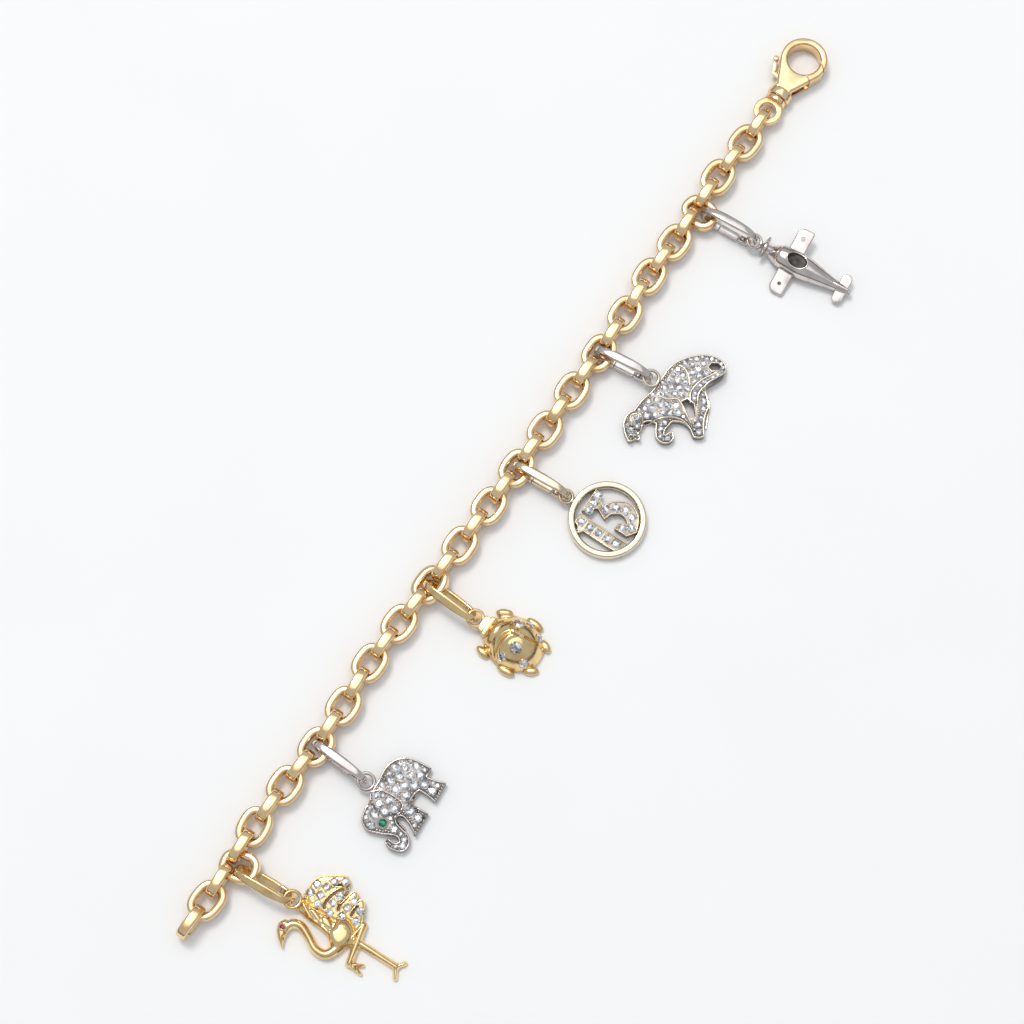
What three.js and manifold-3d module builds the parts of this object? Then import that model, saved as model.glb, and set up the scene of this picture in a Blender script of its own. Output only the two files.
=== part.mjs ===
// A charm bracelet lying open: an oval cable chain, a swivel clasp, and six charms on hinged carriers.
// Millimetres. +X runs along the chain to the clasp, the charms lie towards -Y, and +Z is up from
// the surface that the bracelet rests on. The origin is under the middle of its footprint.

import * as THREE from "three";
import { mergeVertices } from "three/addons/utils/BufferGeometryUtils.js";
import Module from "manifold-3d";

const wasm = await Module();
wasm.setup();

// Clearances
const RUNNING_GAP = 0.3;
const SEAM_GAP = 0.2;
const PIN_GAP = 0.12;
const STONE_GAP = 0.15;
const SOLDER_BITE = 0.04;
const REST_RISE = 0.19;

// Chain link
const LINK_LONG = 6.2;
const LINK_WIDE = 5.0;
const LINK_WIRE = 1.02;
const FLAT_WIRE = 1.34;
const LINK_DEPTH = 1.8;
const LINK_STOPS = [0, 38, 72, 108, 142, 180, 218, 252, 288, 322];
const LINK_SQUARENESS = 2.6;

// Swivel clasp
const EYE_OUTER = 5.0;
const EYE_HOLE = 2.8;
const EYE_THICK = 1.3;
const FLANGE_ACROSS = 3.8;
const FLANGE_THICK = 0.9;
const FLANGE_INSET = 0.6;
const POST_ACROSS = 1.3;
const POST_HEAD_ACROSS = 2.2;
const POST_HEAD_THICK = 0.45;
const COLLAR_WIDE = 4.3;
const COLLAR_HIGH = 3.6;
const COLLAR_WALL = 0.4;
const COLLAR_LONG = 1.7;
const HOOK_THICK = 2.9;
const HOOK_OPENING = 5.7;
const HOOK_BAND = 1.3;
const HOOK_REACH = 6.75;
const HOOK_SHOULDER = 2.9;
const LEVER_THICK = 0.8;
const LEVER_WIDE = 0.85;
const NUB_ACROSS = 1.0;
const NUB_HIGH = 1.7;
const CLASP_TILT = THREE.MathUtils.degToRad(2.0);

// Carrier that holds a charm
const CARRIER_LONG = 11.0;
const CARRIER_HIGH = 4.8;
const CARRIER_BAND = 0.75;
const CARRIER_SQUARENESS = 3.0;
const CARRIER_WIDE = 1.7;
const CARRIER_END_WIDE = 0.85;
const GATE_SEAT = 3.9;
const GATE_HINGE = 8.4;
const KNUCKLE_ACROSS = 1.0;
const KNUCKLE_WIDE = 0.6;
const HINGE_PIN_ACROSS = 0.4;

// Soldered ring at the top of each charm
const BAIL_OUTER = 3.3;
const BAIL_WIRE = 0.6;
const BAIL_TILT = THREE.MathUtils.degToRad(12);

// Charms
const CHARM_THICK = 2.2;
const CHARM_EDGE = 0.15;
const ELEPHANT_LONG = 14.6;
const ELEPHANT_TALL = 10.6;
const BIG_CAT_LONG = 20.9;
const BIG_CAT_TALL = 12.8;
const MEDAL_ACROSS = 13.4;
const MEDAL_RIM = 1.25;
const MEDAL_MIDDLE = [0.6, 0.5 - (MEDAL_ACROSS + BAIL_OUTER) / 2];
const NUMERAL_THICK = 1.5;
const BEETLE_LONG = 10.1;
const BEETLE_WIDE = 9.0;
const BEETLE_HIGH = 4.4;
const BEETLE_MIDDLE = [0.4, -0.9 - (BEETLE_LONG + BAIL_OUTER) / 2];
const BIRD_LONG = 15.7;
const BIRD_TALL = 20.9;
const PLANE_LONG = 15.4;
const PLANE_WIDE = 4.2;
const WING_SPAN = 12.3;
const WING_CHORD = 2.9;
const WING_THICK = 0.8;

// Stones
const PAVE_STONE = 1.2;
const PLUME_STONE = 1.2;
const BIG_STONE = 2.1;
const SMALL_STONE = 1.5;
const EYE_STONE = 1.4;
const RUBY_STONE = 0.9;
const STONE_TABLE = 0.58;
const STONE_CROWN = 0.26;

// Where the footprint's middle lies from the middle of the chain
const FOOTPRINT_MIDDLE = new THREE.Vector2(7.505, -13.755);

const yellowGold = metal("yellow gold", 0xe9c88b, 0.16);
const whiteGold = metal("white gold", 0xd9d2cc, 0.14);
const paleGold = metal("pale gold", 0xe3d3b4, 0.16);
const diamond = new THREE.MeshStandardMaterial({ color: 0xf2f4fa, roughness: 0.04, metalness: 0.1 });
const emerald = new THREE.MeshStandardMaterial({ color: 0x0f6b4c, roughness: 0.05, metalness: 0.0 });
const ruby = new THREE.MeshStandardMaterial({ color: 0x6e1f48, roughness: 0.05, metalness: 0.0 });

function metal(name, color, roughness) {
  return new THREE.MeshStandardMaterial({ name, color, roughness, metalness: 1.0 });
}

// A closed geometry as a solid that can be joined and cut
function solidOf(geometry) {
  const bare = geometry.clone();
  bare.deleteAttribute("normal");
  bare.deleteAttribute("uv");
  const merged = mergeVertices(bare, 1e-4);
  const corners = merged.index.array;
  const kept = [];
  for (let i = 0; i < corners.length; i += 3) {
    const [a, b, c] = corners.subarray(i, i + 3);
    if (a !== b && b !== c && c !== a) kept.push(a, b, c);
  }
  return new wasm.Manifold(new wasm.Mesh({
    numProp: 3,
    vertProperties: new Float32Array(merged.attributes.position.array),
    triVerts: new Uint32Array(kept),
  }));
}

function geometryOf(solid) {
  const mesh = solid.getMesh();
  const geometry = new THREE.BufferGeometry();
  geometry.setAttribute("position", new THREE.BufferAttribute(mesh.vertProperties, 3));
  geometry.setIndex(new THREE.BufferAttribute(mesh.triVerts, 1));
  return geometry;
}

function joined(geometries) {
  return geometries.map(solidOf).reduce((whole, next) => whole.add(next));
}

function piece(name, solid, material) {
  const mesh = new THREE.Mesh(geometryOf(solid), material);
  mesh.name = name;
  return mesh;
}

function at(x, y, z) {
  return new THREE.Matrix4().makeTranslation(x, y, z);
}

function turned(axis, angle) {
  return new THREE.Matrix4().makeRotationAxis(new THREE.Vector3(...axis), angle);
}

function moved(geometry, ...matrices) {
  const whole = matrices.reduce((product, next) => product.multiply(next), new THREE.Matrix4());
  return geometry.clone().applyMatrix4(whole);
}

// A skin through rings of equally many points, each running anticlockwise about the way they go on
function loft(rings, closed) {
  const sides = rings[0].length;
  const faces = [];
  const spans = closed ? rings.length : rings.length - 1;
  for (let i = 0; i < spans; i++) {
    const near = i * sides;
    const far = ((i + 1) % rings.length) * sides;
    for (let j = 0; j < sides; j++) {
      const k = (j + 1) % sides;
      faces.push(near + j, near + k, far + k, near + j, far + k, far + j);
    }
  }
  if (!closed) {
    const last = (rings.length - 1) * sides;
    for (let j = 1; j < sides - 1; j++) {
      faces.push(0, j + 1, j, last, last + j, last + j + 1);
    }
  }
  const geometry = new THREE.BufferGeometry().setFromPoints(rings.flat());
  geometry.setIndex(faces);
  return geometry;
}

// Stops along part of an oval in the XY plane: the point and its outward direction
function ovalStops(halfLong, halfWide, squareness, angles) {
  const power = 2 / squareness;
  return angles.map((angle) => {
    const across = Math.cos(angle);
    const up = Math.sin(angle);
    const x = Math.sign(across) * Math.abs(across) ** power;
    const y = Math.sign(up) * Math.abs(up) ** power;
    const steep = squareness - 1;
    const out = new THREE.Vector2(
      (Math.sign(x) * Math.abs(x) ** steep) / halfLong,
      (Math.sign(y) * Math.abs(y) ** steep) / halfWide,
    ).normalize();
    return { x: x * halfLong, y: y * halfWide, out };
  });
}

// The bar's section at each stop: half its thickness outwards and half its depth along Z
function barRings(stops, profile, halfThick, halfDeepAt) {
  return stops.map((stop) => profile.map(([a, b]) => new THREE.Vector3(
    stop.x + stop.out.x * a * halfThick,
    stop.y + stop.out.y * a * halfThick,
    b * halfDeepAt(stop),
  )));
}

const WIRE_RIDGE = -0.3;
const BAND_PROFILE = [[1, 0.72], [1, -0.72], [0.1, -1], [-1, -0.8], [-1, 0.8], [0.1, 1]];

// Chain. Each link that lies flat, from the free end to the clasp: its step from the last one as a
// share of a taut pair, its side offset as a share of the link's width, its turn in degrees, how far
// its charm side is tipped up in degrees, and how far it hangs to that side as a share of its length.
const CHAIN_ROUTE = [
  { step: 0, side: -0.07, turn: -4, tip: 0, hang: 0 },
  { step: 0.83, side: 0.02, turn: -74, tip: 8, hang: 0.25 },
  { step: 0.84, side: 0.08, turn: 6, tip: 0, hang: 0 },
  { step: 0.998, side: 0.05, turn: 0, tip: 0, hang: 0 },
  { step: 0.962, side: -0.04, turn: 0, tip: 0, hang: 0 },
  { step: 0.962, side: 0.01, turn: 2, tip: 0, hang: 0 },
  { step: 0.998, side: 0.13, turn: 0, tip: 0, hang: 0 },
  { step: 0.974, side: 0.1, turn: -2, tip: 0, hang: 0 },
  { step: 0.998, side: 0.02, turn: -2, tip: 14, hang: 0 },
  { step: 0.998, side: -0.02, turn: 0, tip: 0, hang: 0 },
  { step: 0.998, side: -0.04, turn: 0, tip: 0, hang: 0 },
  { step: 0.962, side: -0.06, turn: 0, tip: 0, hang: 0 },
  { step: 0.985, side: -0.08, turn: 0, tip: 0, hang: 0 },
  { step: 0.998, side: -0.05, turn: 0, tip: 0, hang: 0 },
  { step: 0.975, side: -0.06, turn: 1, tip: 0, hang: 0 },
  { step: 0.985, side: -0.01, turn: 2, tip: 0, hang: 0 },
  { step: 0.962, side: 0.08, turn: 2, tip: 0, hang: 0 },
  { step: 0.914, side: 0.06, turn: -1, tip: 0, hang: 0 },
  { step: 0.87, side: 0.12, turn: -100, tip: 5, hang: 0.15 },
  { step: 0.835, side: 0.15, turn: 0, tip: 0, hang: 0 },
  { step: 0.965, side: 0.08, turn: -3, tip: 0, hang: 0 },
];
const CHAIN_START = -79.3;

const linkHalfLong = (LINK_LONG - LINK_WIRE) / 2;
const linkHalfWide = (LINK_WIDE - LINK_WIRE) / 2;
const tautPair = 2 * (LINK_LONG - 2 * LINK_WIRE);
const uprightShape = linkGeometry(LINK_WIRE);
const flatShape = linkGeometry(FLAT_WIRE);
const uprightHeight = new THREE.Box3().setFromBufferAttribute(uprightShape.attributes.position).max.y;
const chainLinks = laidLinks();

// A link about the origin. A thicker wire grows outwards, so the opening and the ridge it rests on
// stay where they are.
function linkGeometry(wire) {
  const angles = LINK_STOPS.map((stop) => THREE.MathUtils.degToRad(stop));
  const grown = (wire - LINK_WIRE) / 2;
  const ridge = (WIRE_RIDGE * LINK_WIRE - 2 * grown) / wire;
  const profile = [[1, 0.64], [1, -0.64], [ridge, -1], [-1, 0], [ridge, 1]];
  const stops = ovalStops(linkHalfLong + grown, linkHalfWide + grown, LINK_SQUARENESS, angles);
  return loft(barRings(stops, profile, wire / 2, () => LINK_DEPTH / 2), true);
}

// Where every link lies. A flat link rests on the lower arms of the upright ones beside it.
function laidLinks() {
  let x = CHAIN_START;
  const flat = CHAIN_ROUTE.map((row) => {
    x += row.step * tautPair;
    const turn = THREE.MathUtils.degToRad(row.turn);
    const tip = THREE.MathUtils.degToRad(row.tip);
    const crossed = Math.abs(row.turn) > 45;
    const y = row.side * LINK_WIDE;
    const hang = row.hang * LINK_LONG;
    const height = LINK_WIRE + (crossed ? 0 : REST_RISE) - SOLDER_BITE + LINK_DEPTH / 2 / Math.cos(tip)
      + (hang + LINK_DEPTH / 4) * Math.tan(tip);
    return {
      crossX: x,
      crossY: y,
      reach: crossed ? linkHalfWide / Math.abs(Math.sin(turn)) : linkHalfLong,
      centre: new THREE.Vector3(crossed ? x - hang / Math.tan(turn) : x, y - hang, height),
      turn,
      tip,
    };
  });
  const upright = [];
  for (let i = 0; i <= flat.length; i++) {
    const left = flat[i - 1];
    const right = flat[i];
    const from = left ? left.crossX + left.reach : right.crossX - right.reach - linkHalfLong * 1.25;
    const to = right ? right.crossX - right.reach : from + (EYE_OUTER - EYE_HOLE) / 2 + 0.7 * linkHalfLong;
    const leftY = left ? left.crossY : right.crossY + 0.02 * LINK_WIDE;
    const rightY = right ? right.crossY : left.crossY;
    upright.push({
      centre: new THREE.Vector3((from + to) / 2, (leftY + rightY) / 2, uprightHeight),
      turn: Math.atan2(rightY - leftY, tautPair),
    });
  }
  return { flat, upright };
}

function makeChain() {
  const flat = chainLinks.flat.map((place) => moved(flatShape,
    at(...place.centre), turned([1, 0, 0], -place.tip), turned([0, 0, 1], place.turn)));
  const upright = chainLinks.upright.map((place) => moved(uprightShape,
    at(...place.centre), turned([0, 0, 1], place.turn), turned([1, 0, 0], Math.PI / 2)));
  return piece("chain", joined([...upright, ...flat]), yellowGold);
}

// Flat shapes
function polygon(points) {
  return new THREE.Shape(points.map(([x, y]) => new THREE.Vector2(x, y)));
}

// Smooth runs of points with a corner where one run meets the next, as shares of a length and a height
function outlineOf(runs, long, tall) {
  const shape = new THREE.Shape();
  runs.forEach((run, i) => {
    const points = run.map(([u, v]) => new THREE.Vector2(u * long, v * tall));
    if (i === 0) shape.moveTo(points[0].x, points[0].y);
    if (points.length === 2) shape.lineTo(points[1].x, points[1].y);
    else shape.splineThru(points.slice(1));
  });
  return shape;
}

function slab(shape, low, high, edge = 0, curveSegments = 1) {
  const geometry = new THREE.ExtrudeGeometry(shape, {
    depth: high - low - 2 * edge,
    curveSegments,
    bevelEnabled: edge > 0,
    bevelThickness: edge,
    bevelSize: edge,
    bevelOffset: -edge,
    bevelSegments: 1,
  });
  return geometry.translate(0, 0, low + edge);
}

function disc(radius, low, high, sides, x = 0, y = 0) {
  const geometry = new THREE.CylinderGeometry(radius, radius, high - low, sides);
  return moved(geometry, at(x, y, (low + high) / 2), turned([1, 0, 0], Math.PI / 2));
}

// A bar with round ends between two points of the XY plane
function capsule(from, to, radius) {
  const heading = Math.atan2(to[1] - from[1], to[0] - from[0]);
  const shape = new THREE.Shape();
  shape.absarc(to[0], to[1], radius, heading - Math.PI / 2, heading + Math.PI / 2, false);
  shape.absarc(from[0], from[1], radius, heading + Math.PI / 2, heading + (3 * Math.PI) / 2, false);
  return shape;
}

// Clasp. Its own frame has the eye's centre as origin and runs along +X.
const flangeStart = EYE_OUTER / 2 - FLANGE_INSET;
const flangeEnd = flangeStart + FLANGE_THICK;
const collarStart = flangeEnd + SEAM_GAP;
const collarEnd = collarStart + COLLAR_LONG;
const hookCentre = collarEnd + HOOK_REACH;
const hookOuter = HOOK_OPENING / 2 + HOOK_BAND;
const hookMiddle = (HOOK_OPENING + HOOK_BAND) / 2;
const leverPivot = [collarEnd + 0.26 * HOOK_REACH, -0.07 * HOOK_SHOULDER];
const lastUpright = chainLinks.upright.at(-1).centre;
const eyePlace = new THREE.Vector3(
  lastUpright.x + linkHalfLong + 0.18 * EYE_HOLE,
  lastUpright.y,
  LINK_WIRE + RUNNING_GAP + EYE_THICK / 2 + 0.1,
);

// A solid of revolution about the clasp's long axis, from pairs of place and radius
function spindle(profile, sides) {
  const points = profile.map(([along, radius]) => new THREE.Vector2(radius, along));
  return moved(new THREE.LatheGeometry(points, sides), turned([0, 0, 1], -Math.PI / 2));
}

function makeClaspEye() {
  const outline = new THREE.Shape().absarc(0, 0, EYE_OUTER / 2, 0, 2 * Math.PI, false);
  outline.holes.push(new THREE.Path().absarc(0, 0, EYE_HOLE / 2, 0, 2 * Math.PI, true));
  const headStart = collarStart + COLLAR_WALL + SEAM_GAP;
  const headEnd = headStart + POST_HEAD_THICK;
  const post = spindle([
    [flangeStart, 0], [flangeStart, FLANGE_ACROSS / 2], [flangeEnd, FLANGE_ACROSS / 2],
    [flangeEnd, POST_ACROSS / 2], [headStart, POST_ACROSS / 2], [headStart, POST_HEAD_ACROSS / 2],
    [headEnd, POST_HEAD_ACROSS / 2], [headEnd, 0],
  ], 12);
  const flat = slab(outline, -EYE_THICK / 2, EYE_THICK / 2, 0.25, 7);
  return piece("clasp_eye", joined([flat, post]), yellowGold);
}

function hookOutline() {
  const shoulder = [collarEnd, HOOK_SHOULDER / 2];
  const away = Math.hypot(HOOK_REACH, shoulder[1]);
  const touch = Math.atan2(shoulder[1], -HOOK_REACH) - Math.acos(hookOuter / away);
  const shape = new THREE.Shape();
  shape.moveTo(collarEnd - COLLAR_WALL, -shoulder[1]);
  shape.lineTo(shoulder[0], -shoulder[1]);
  shape.absarc(hookCentre, 0, hookOuter, -touch, touch, false);
  shape.lineTo(shoulder[0], shoulder[1]);
  shape.lineTo(collarEnd - COLLAR_WALL, shoulder[1]);
  shape.holes.push(new THREE.Path().absarc(hookCentre, 0, HOOK_OPENING / 2, 0, 2 * Math.PI, true));
  return shape;
}

// The gate lies between two slanted seams: each is the angle round the opening and its own slant
const GATE_SEAMS = {
  near: { angle: THREE.MathUtils.degToRad(222), slant: THREE.MathUtils.degToRad(54) },
  far: { angle: THREE.MathUtils.degToRad(279), slant: THREE.MathUtils.degToRad(50) },
};

function gateRegion(grow) {
  const ends = [[GATE_SEAMS.near, -grow], [GATE_SEAMS.far, grow]].map(([seam, shift]) => {
    const along = new THREE.Vector2(Math.cos(seam.slant), Math.sin(seam.slant));
    const middle = new THREE.Vector2(
      hookCentre + hookMiddle * Math.cos(seam.angle) + shift * along.y,
      hookMiddle * Math.sin(seam.angle) - shift * along.x,
    );
    const inner = middle.clone().addScaledVector(along, 1.6 * HOOK_BAND);
    const outer = middle.clone().addScaledVector(along, -1.6 * HOOK_BAND);
    return { inner: inner.toArray(), outer: outer.toArray() };
  });
  const [near, far] = ends;
  const below = [hookCentre - HOOK_BAND, -1.5 * hookOuter];
  return polygon([near.inner, near.outer, below, far.outer, far.inner]);
}

function makeHook() {
  const half = HOOK_THICK / 2;
  const chamber = spindle([
    [collarStart - 1, 0], [collarStart - 1, POST_ACROSS / 2 + RUNNING_GAP],
    [collarStart + COLLAR_WALL, POST_ACROSS / 2 + RUNNING_GAP],
    [collarStart + COLLAR_WALL, POST_HEAD_ACROSS / 2 + SEAM_GAP],
    [collarStart + COLLAR_WALL + POST_HEAD_THICK + 2 * SEAM_GAP, POST_HEAD_ACROSS / 2 + SEAM_GAP],
    [collarStart + COLLAR_WALL + POST_HEAD_THICK + 2 * SEAM_GAP, 0],
  ], 12);
  const collar = spindle([
    [collarStart, 0], [collarStart, 0.86 * COLLAR_WIDE / 2], [collarStart + 0.35 * COLLAR_LONG, COLLAR_WIDE / 2],
    [collarEnd - 0.35 * COLLAR_LONG, COLLAR_WIDE / 2], [collarEnd, 0.84 * COLLAR_WIDE / 2], [collarEnd, 0],
  ], 14).scale(1, 1, COLLAR_HIGH / COLLAR_WIDE);
  const slotHalf = LEVER_THICK / 2 + RUNNING_GAP;
  const slot = slab(polygon([
    [collarEnd + 0.45, -hookOuter], [collarEnd + 0.45, hookOuter], [hookCentre - 3.5, hookOuter],
    [hookCentre - 3.7, 0.4], [hookCentre - 2.3, -0.3], [hookCentre - 1.95, -2.0], [hookCentre - 2.3, -hookOuter],
  ]), -slotHalf, slotHalf);
  const pin = disc(HINGE_PIN_ACROSS, -half + 0.2, half - 0.2, 10, ...leverPivot);
  const body = solidOf(slab(hookOutline(), -half, half, 0.3, 8))
    .add(solidOf(collar))
    .subtract(solidOf(chamber))
    .subtract(solidOf(slot))
    .subtract(solidOf(slab(gateRegion(SEAM_GAP / 2), -HOOK_THICK, HOOK_THICK)))
    .add(solidOf(pin));
  return piece("clasp_hook", body, yellowGold);
}

function makeTrigger() {
  const half = HOOK_THICK / 2;
  const lever = LEVER_THICK / 2;
  const width = LEVER_WIDE / 2;
  const gateAnchor = [hookCentre - 2.3, -2.55];
  const elbow = [leverPivot[0] + 0.4, leverPivot[1] + 3.35];
  const nub = [hookCentre - 2.35, hookOuter + 0.08];
  const gate = solidOf(slab(hookOutline(), -half, half, 0.3, 8))
    .intersect(solidOf(slab(gateRegion(-SEAM_GAP / 2), -HOOK_THICK, HOOK_THICK)));
  const lever3 = joined([
    disc(HINGE_PIN_ACROSS + 0.65, -lever, lever, 10, ...leverPivot),
    slab(capsule(leverPivot, gateAnchor, width), -lever, lever, 0, 4),
    slab(capsule(leverPivot, elbow, width), -lever, lever, 0, 4),
    slab(capsule(elbow, nub, 0.8 * width), -lever, lever, 0, 4),
    disc(NUB_ACROSS / 2, -NUB_HIGH / 2, NUB_HIGH / 2, 10, ...nub),
  ]);
  const bore = solidOf(disc(HINGE_PIN_ACROSS + PIN_GAP, -half, half, 10, ...leverPivot));
  return piece("clasp_trigger", gate.add(lever3).subtract(bore), yellowGold);
}

function makeClasp() {
  const clasp = new THREE.Group();
  clasp.position.copy(eyePlace);
  clasp.rotation.y = CLASP_TILT;
  clasp.add(makeClaspEye(), makeHook(), makeTrigger());
  return clasp;
}

// Carriers. Their own frame has the chain end at the origin, runs along -Y and stands on Z = 0.
const hoopMiddle = [CARRIER_LONG / 2, CARRIER_HIGH / 2];
const hoopHalf = [(CARRIER_LONG - CARRIER_BAND) / 2, (CARRIER_HIGH - CARRIER_BAND) / 2];
const hoopFrame = new THREE.Matrix4().makeBasis(
  new THREE.Vector3(0, -1, 0), new THREE.Vector3(0, 0, 1), new THREE.Vector3(-1, 0, 0));

// The angle round the hoop's oval at which its lower side is this far along
function hoopAngle(along) {
  const share = (along - hoopMiddle[0]) / hoopHalf[0];
  const across = Math.sign(share) * Math.abs(share) ** (CARRIER_SQUARENESS / 2);
  return -Math.acos(across);
}

function hoopStops(from, to, steps) {
  const angles = Array.from({ length: steps + 1 }, (_, i) => from + ((to - from) * i) / steps);
  return ovalStops(hoopHalf[0], hoopHalf[1], CARRIER_SQUARENESS, angles).map((stop) => (
    { x: stop.x + hoopMiddle[0], y: stop.y + hoopMiddle[1], out: stop.out }));
}

function hoopHalfWide(stop) {
  const fromMiddle = Math.abs(stop.x / hoopMiddle[0] - 1);
  return (CARRIER_WIDE - (CARRIER_WIDE - CARRIER_END_WIDE) * fromMiddle ** 2) / 2;
}

function hinge() {
  const [stop] = hoopStops(hoopAngle(GATE_HINGE), hoopAngle(GATE_HINGE), 1);
  return [stop.x, stop.y];
}

function makeCarrier(name, material) {
  const forkFrom = GATE_HINGE - KNUCKLE_ACROSS / 2;
  const stops = hoopStops(hoopAngle(forkFrom), hoopAngle(GATE_SEAT) + 2 * Math.PI, 11);
  const hoop = loft(barRings(stops, BAND_PROFILE, CARRIER_BAND / 2, hoopHalfWide), false);
  const slotHalf = KNUCKLE_WIDE / 2 + PIN_GAP;
  const slotEnd = GATE_HINGE + KNUCKLE_ACROSS / 2 + RUNNING_GAP;
  const slot = new THREE.BoxGeometry(2 * (slotEnd - GATE_HINGE), CARRIER_HIGH / 2, 2 * slotHalf);
  const pinHalf = hoopHalfWide({ x: GATE_HINGE }) - 0.15;
  const pin = disc(HINGE_PIN_ACROSS / 2, -pinHalf, pinHalf, 6, ...hinge());
  const solid = solidOf(moved(hoop, hoopFrame))
    .subtract(solidOf(moved(slot, hoopFrame, at(GATE_HINGE, CARRIER_HIGH / 4 - RUNNING_GAP, 0))))
    .add(solidOf(moved(pin, hoopFrame)));
  return piece(`${name}_carrier`, solid, material);
}

function makeGate(name, material) {
  const barEnd = GATE_HINGE - KNUCKLE_ACROSS / 2 - RUNNING_GAP;
  const wide = hoopStops(hoopAngle(GATE_SEAT + SEAM_GAP), hoopAngle(barEnd), 2);
  const narrow = hoopStops(hoopAngle(barEnd + 0.05), hoopAngle(GATE_HINGE), 1);
  const halfThick = 0.46 * CARRIER_BAND;
  const bar = loft([
    ...barRings(wide, BAND_PROFILE, halfThick, (stop) => 0.94 * hoopHalfWide(stop)),
    ...barRings(narrow, BAND_PROFILE, halfThick, () => KNUCKLE_WIDE / 2),
  ], false);
  const knuckle = disc(KNUCKLE_ACROSS / 2, -KNUCKLE_WIDE / 2, KNUCKLE_WIDE / 2, 7, ...hinge());
  const bore = disc(HINGE_PIN_ACROSS / 2 + PIN_GAP, -KNUCKLE_WIDE, KNUCKLE_WIDE, 6, ...hinge());
  const solid = joined([bar, knuckle].map((g) => moved(g, hoopFrame)))
    .subtract(solidOf(moved(bore, hoopFrame)));
  return piece(`${name}_gate`, solid, material);
}

// Stones. The crown has eight main facets round its table.
function stoneGeometry(across, bottom, girdle, sides = 8) {
  const radius = across / 2;
  const crown = across * STONE_CROWN;
  const profile = [[0, bottom], [radius * 0.94, bottom], [radius, girdle], [radius * STONE_TABLE, girdle + crown],
    [0, girdle + crown]].map(([r, z]) => new THREE.Vector2(r, z));
  return moved(new THREE.LatheGeometry(profile, sides), turned([1, 0, 0], Math.PI / 2));
}

// Centres of stones set row by row over a flat outline, each clear of its edge
function rowsOfStones(loops, pitch, margin, angle) {
  const box = new THREE.Box2().setFromPoints(loops[0]);
  const reach = box.getSize(new THREE.Vector2()).length() / 2;
  const middle = box.getCenter(new THREE.Vector2());
  const centres = [];
  const rowPitch = (pitch * Math.sqrt(3)) / 2;
  const rows = Math.ceil(reach / rowPitch);
  const columns = Math.ceil(reach / pitch);
  for (let row = -rows; row <= rows; row++) {
    for (let column = -columns; column <= columns; column++) {
      const offset = row % 2 === 0 ? 0 : pitch / 2;
      const centre = new THREE.Vector2(column * pitch + offset, row * rowPitch)
        .rotateAround(new THREE.Vector2(), angle).add(middle);
      if (roomInside(centre, loops) > margin) centres.push(centre);
    }
  }
  return centres;
}

// How far a point lies inside the first loop and outside the others, or a negative number
function roomInside(point, loops) {
  let room = Infinity;
  let inside = false;
  for (const loop of loops) {
    for (let i = 0; i < loop.length; i++) {
      const a = loop[i];
      const b = loop[(i + 1) % loop.length];
      const edge = b.clone().sub(a);
      const along = THREE.MathUtils.clamp(point.clone().sub(a).dot(edge) / edge.lengthSq(), 0, 1);
      room = Math.min(room, point.distanceTo(a.clone().addScaledVector(edge, along)));
      if ((a.y > point.y) !== (b.y > point.y)
        && point.x < a.x + ((point.y - a.y) / (b.y - a.y)) * (b.x - a.x)) inside = !inside;
    }
  }
  return inside ? room : -room;
}

function bailRing(height, share = 1) {
  const outline = new THREE.Shape().absarc(0, 0, (share * BAIL_OUTER) / 2, 0, 2 * Math.PI, false);
  outline.holes.push(new THREE.Path()
    .absarc(0, 0, (share * BAIL_OUTER) / 2 - BAIL_WIRE, 0, 2 * Math.PI, true));
  const ring = slab(outline, -BAIL_WIRE / 2, BAIL_WIRE / 2, 0, 6);
  return moved(ring, at(0, 0, height), turned([1, 0, 0], BAIL_TILT));
}

// Charms. Each has its bail's centre as origin and lies on Z = 0 towards -Y.
const ELEPHANT_OUTLINE = [
  [[0.103, -0.142], [0.233, -0.113], [0.363, -0.151], [0.466, -0.264], [0.521, -0.453], [0.541, -0.708]],
  [[0.541, -0.708], [0.432, -0.726]],
  [[0.432, -0.726], [0.459, -0.868], [0.5, -1.02]],
  [[0.5, -1.02], [0.247, -1.06]],
  [[0.247, -1.06], [0.26, -0.887], [0.253, -0.745]],
  [[0.253, -0.745], [0.171, -0.726], [0.089, -0.736]],
  [[0.089, -0.736], [0.096, -0.906], [0.11, -1.07]],
  [[0.11, -1.07], [-0.185, -1.1]],
  [[-0.185, -1.1], [-0.116, -0.925], [-0.089, -0.774], [-0.13, -0.708], [-0.178, -0.755], [-0.199, -0.868],
    [-0.212, -1], [-0.274, -1.09], [-0.356, -1.11], [-0.425, -1.05], [-0.459, -0.887], [-0.438, -0.774]],
  [[-0.438, -0.774], [-0.37, -0.774]],
  [[-0.37, -0.774], [-0.377, -0.877], [-0.342, -0.943], [-0.308, -0.887], [-0.322, -0.802]],
  [[-0.322, -0.802], [-0.356, -0.726], [-0.404, -0.585], [-0.438, -0.434], [-0.39, -0.292], [-0.274, -0.226],
    [-0.164, -0.217], [-0.089, -0.151]],
];
const ELEPHANT_EYE = [-0.274, -0.585];

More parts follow.
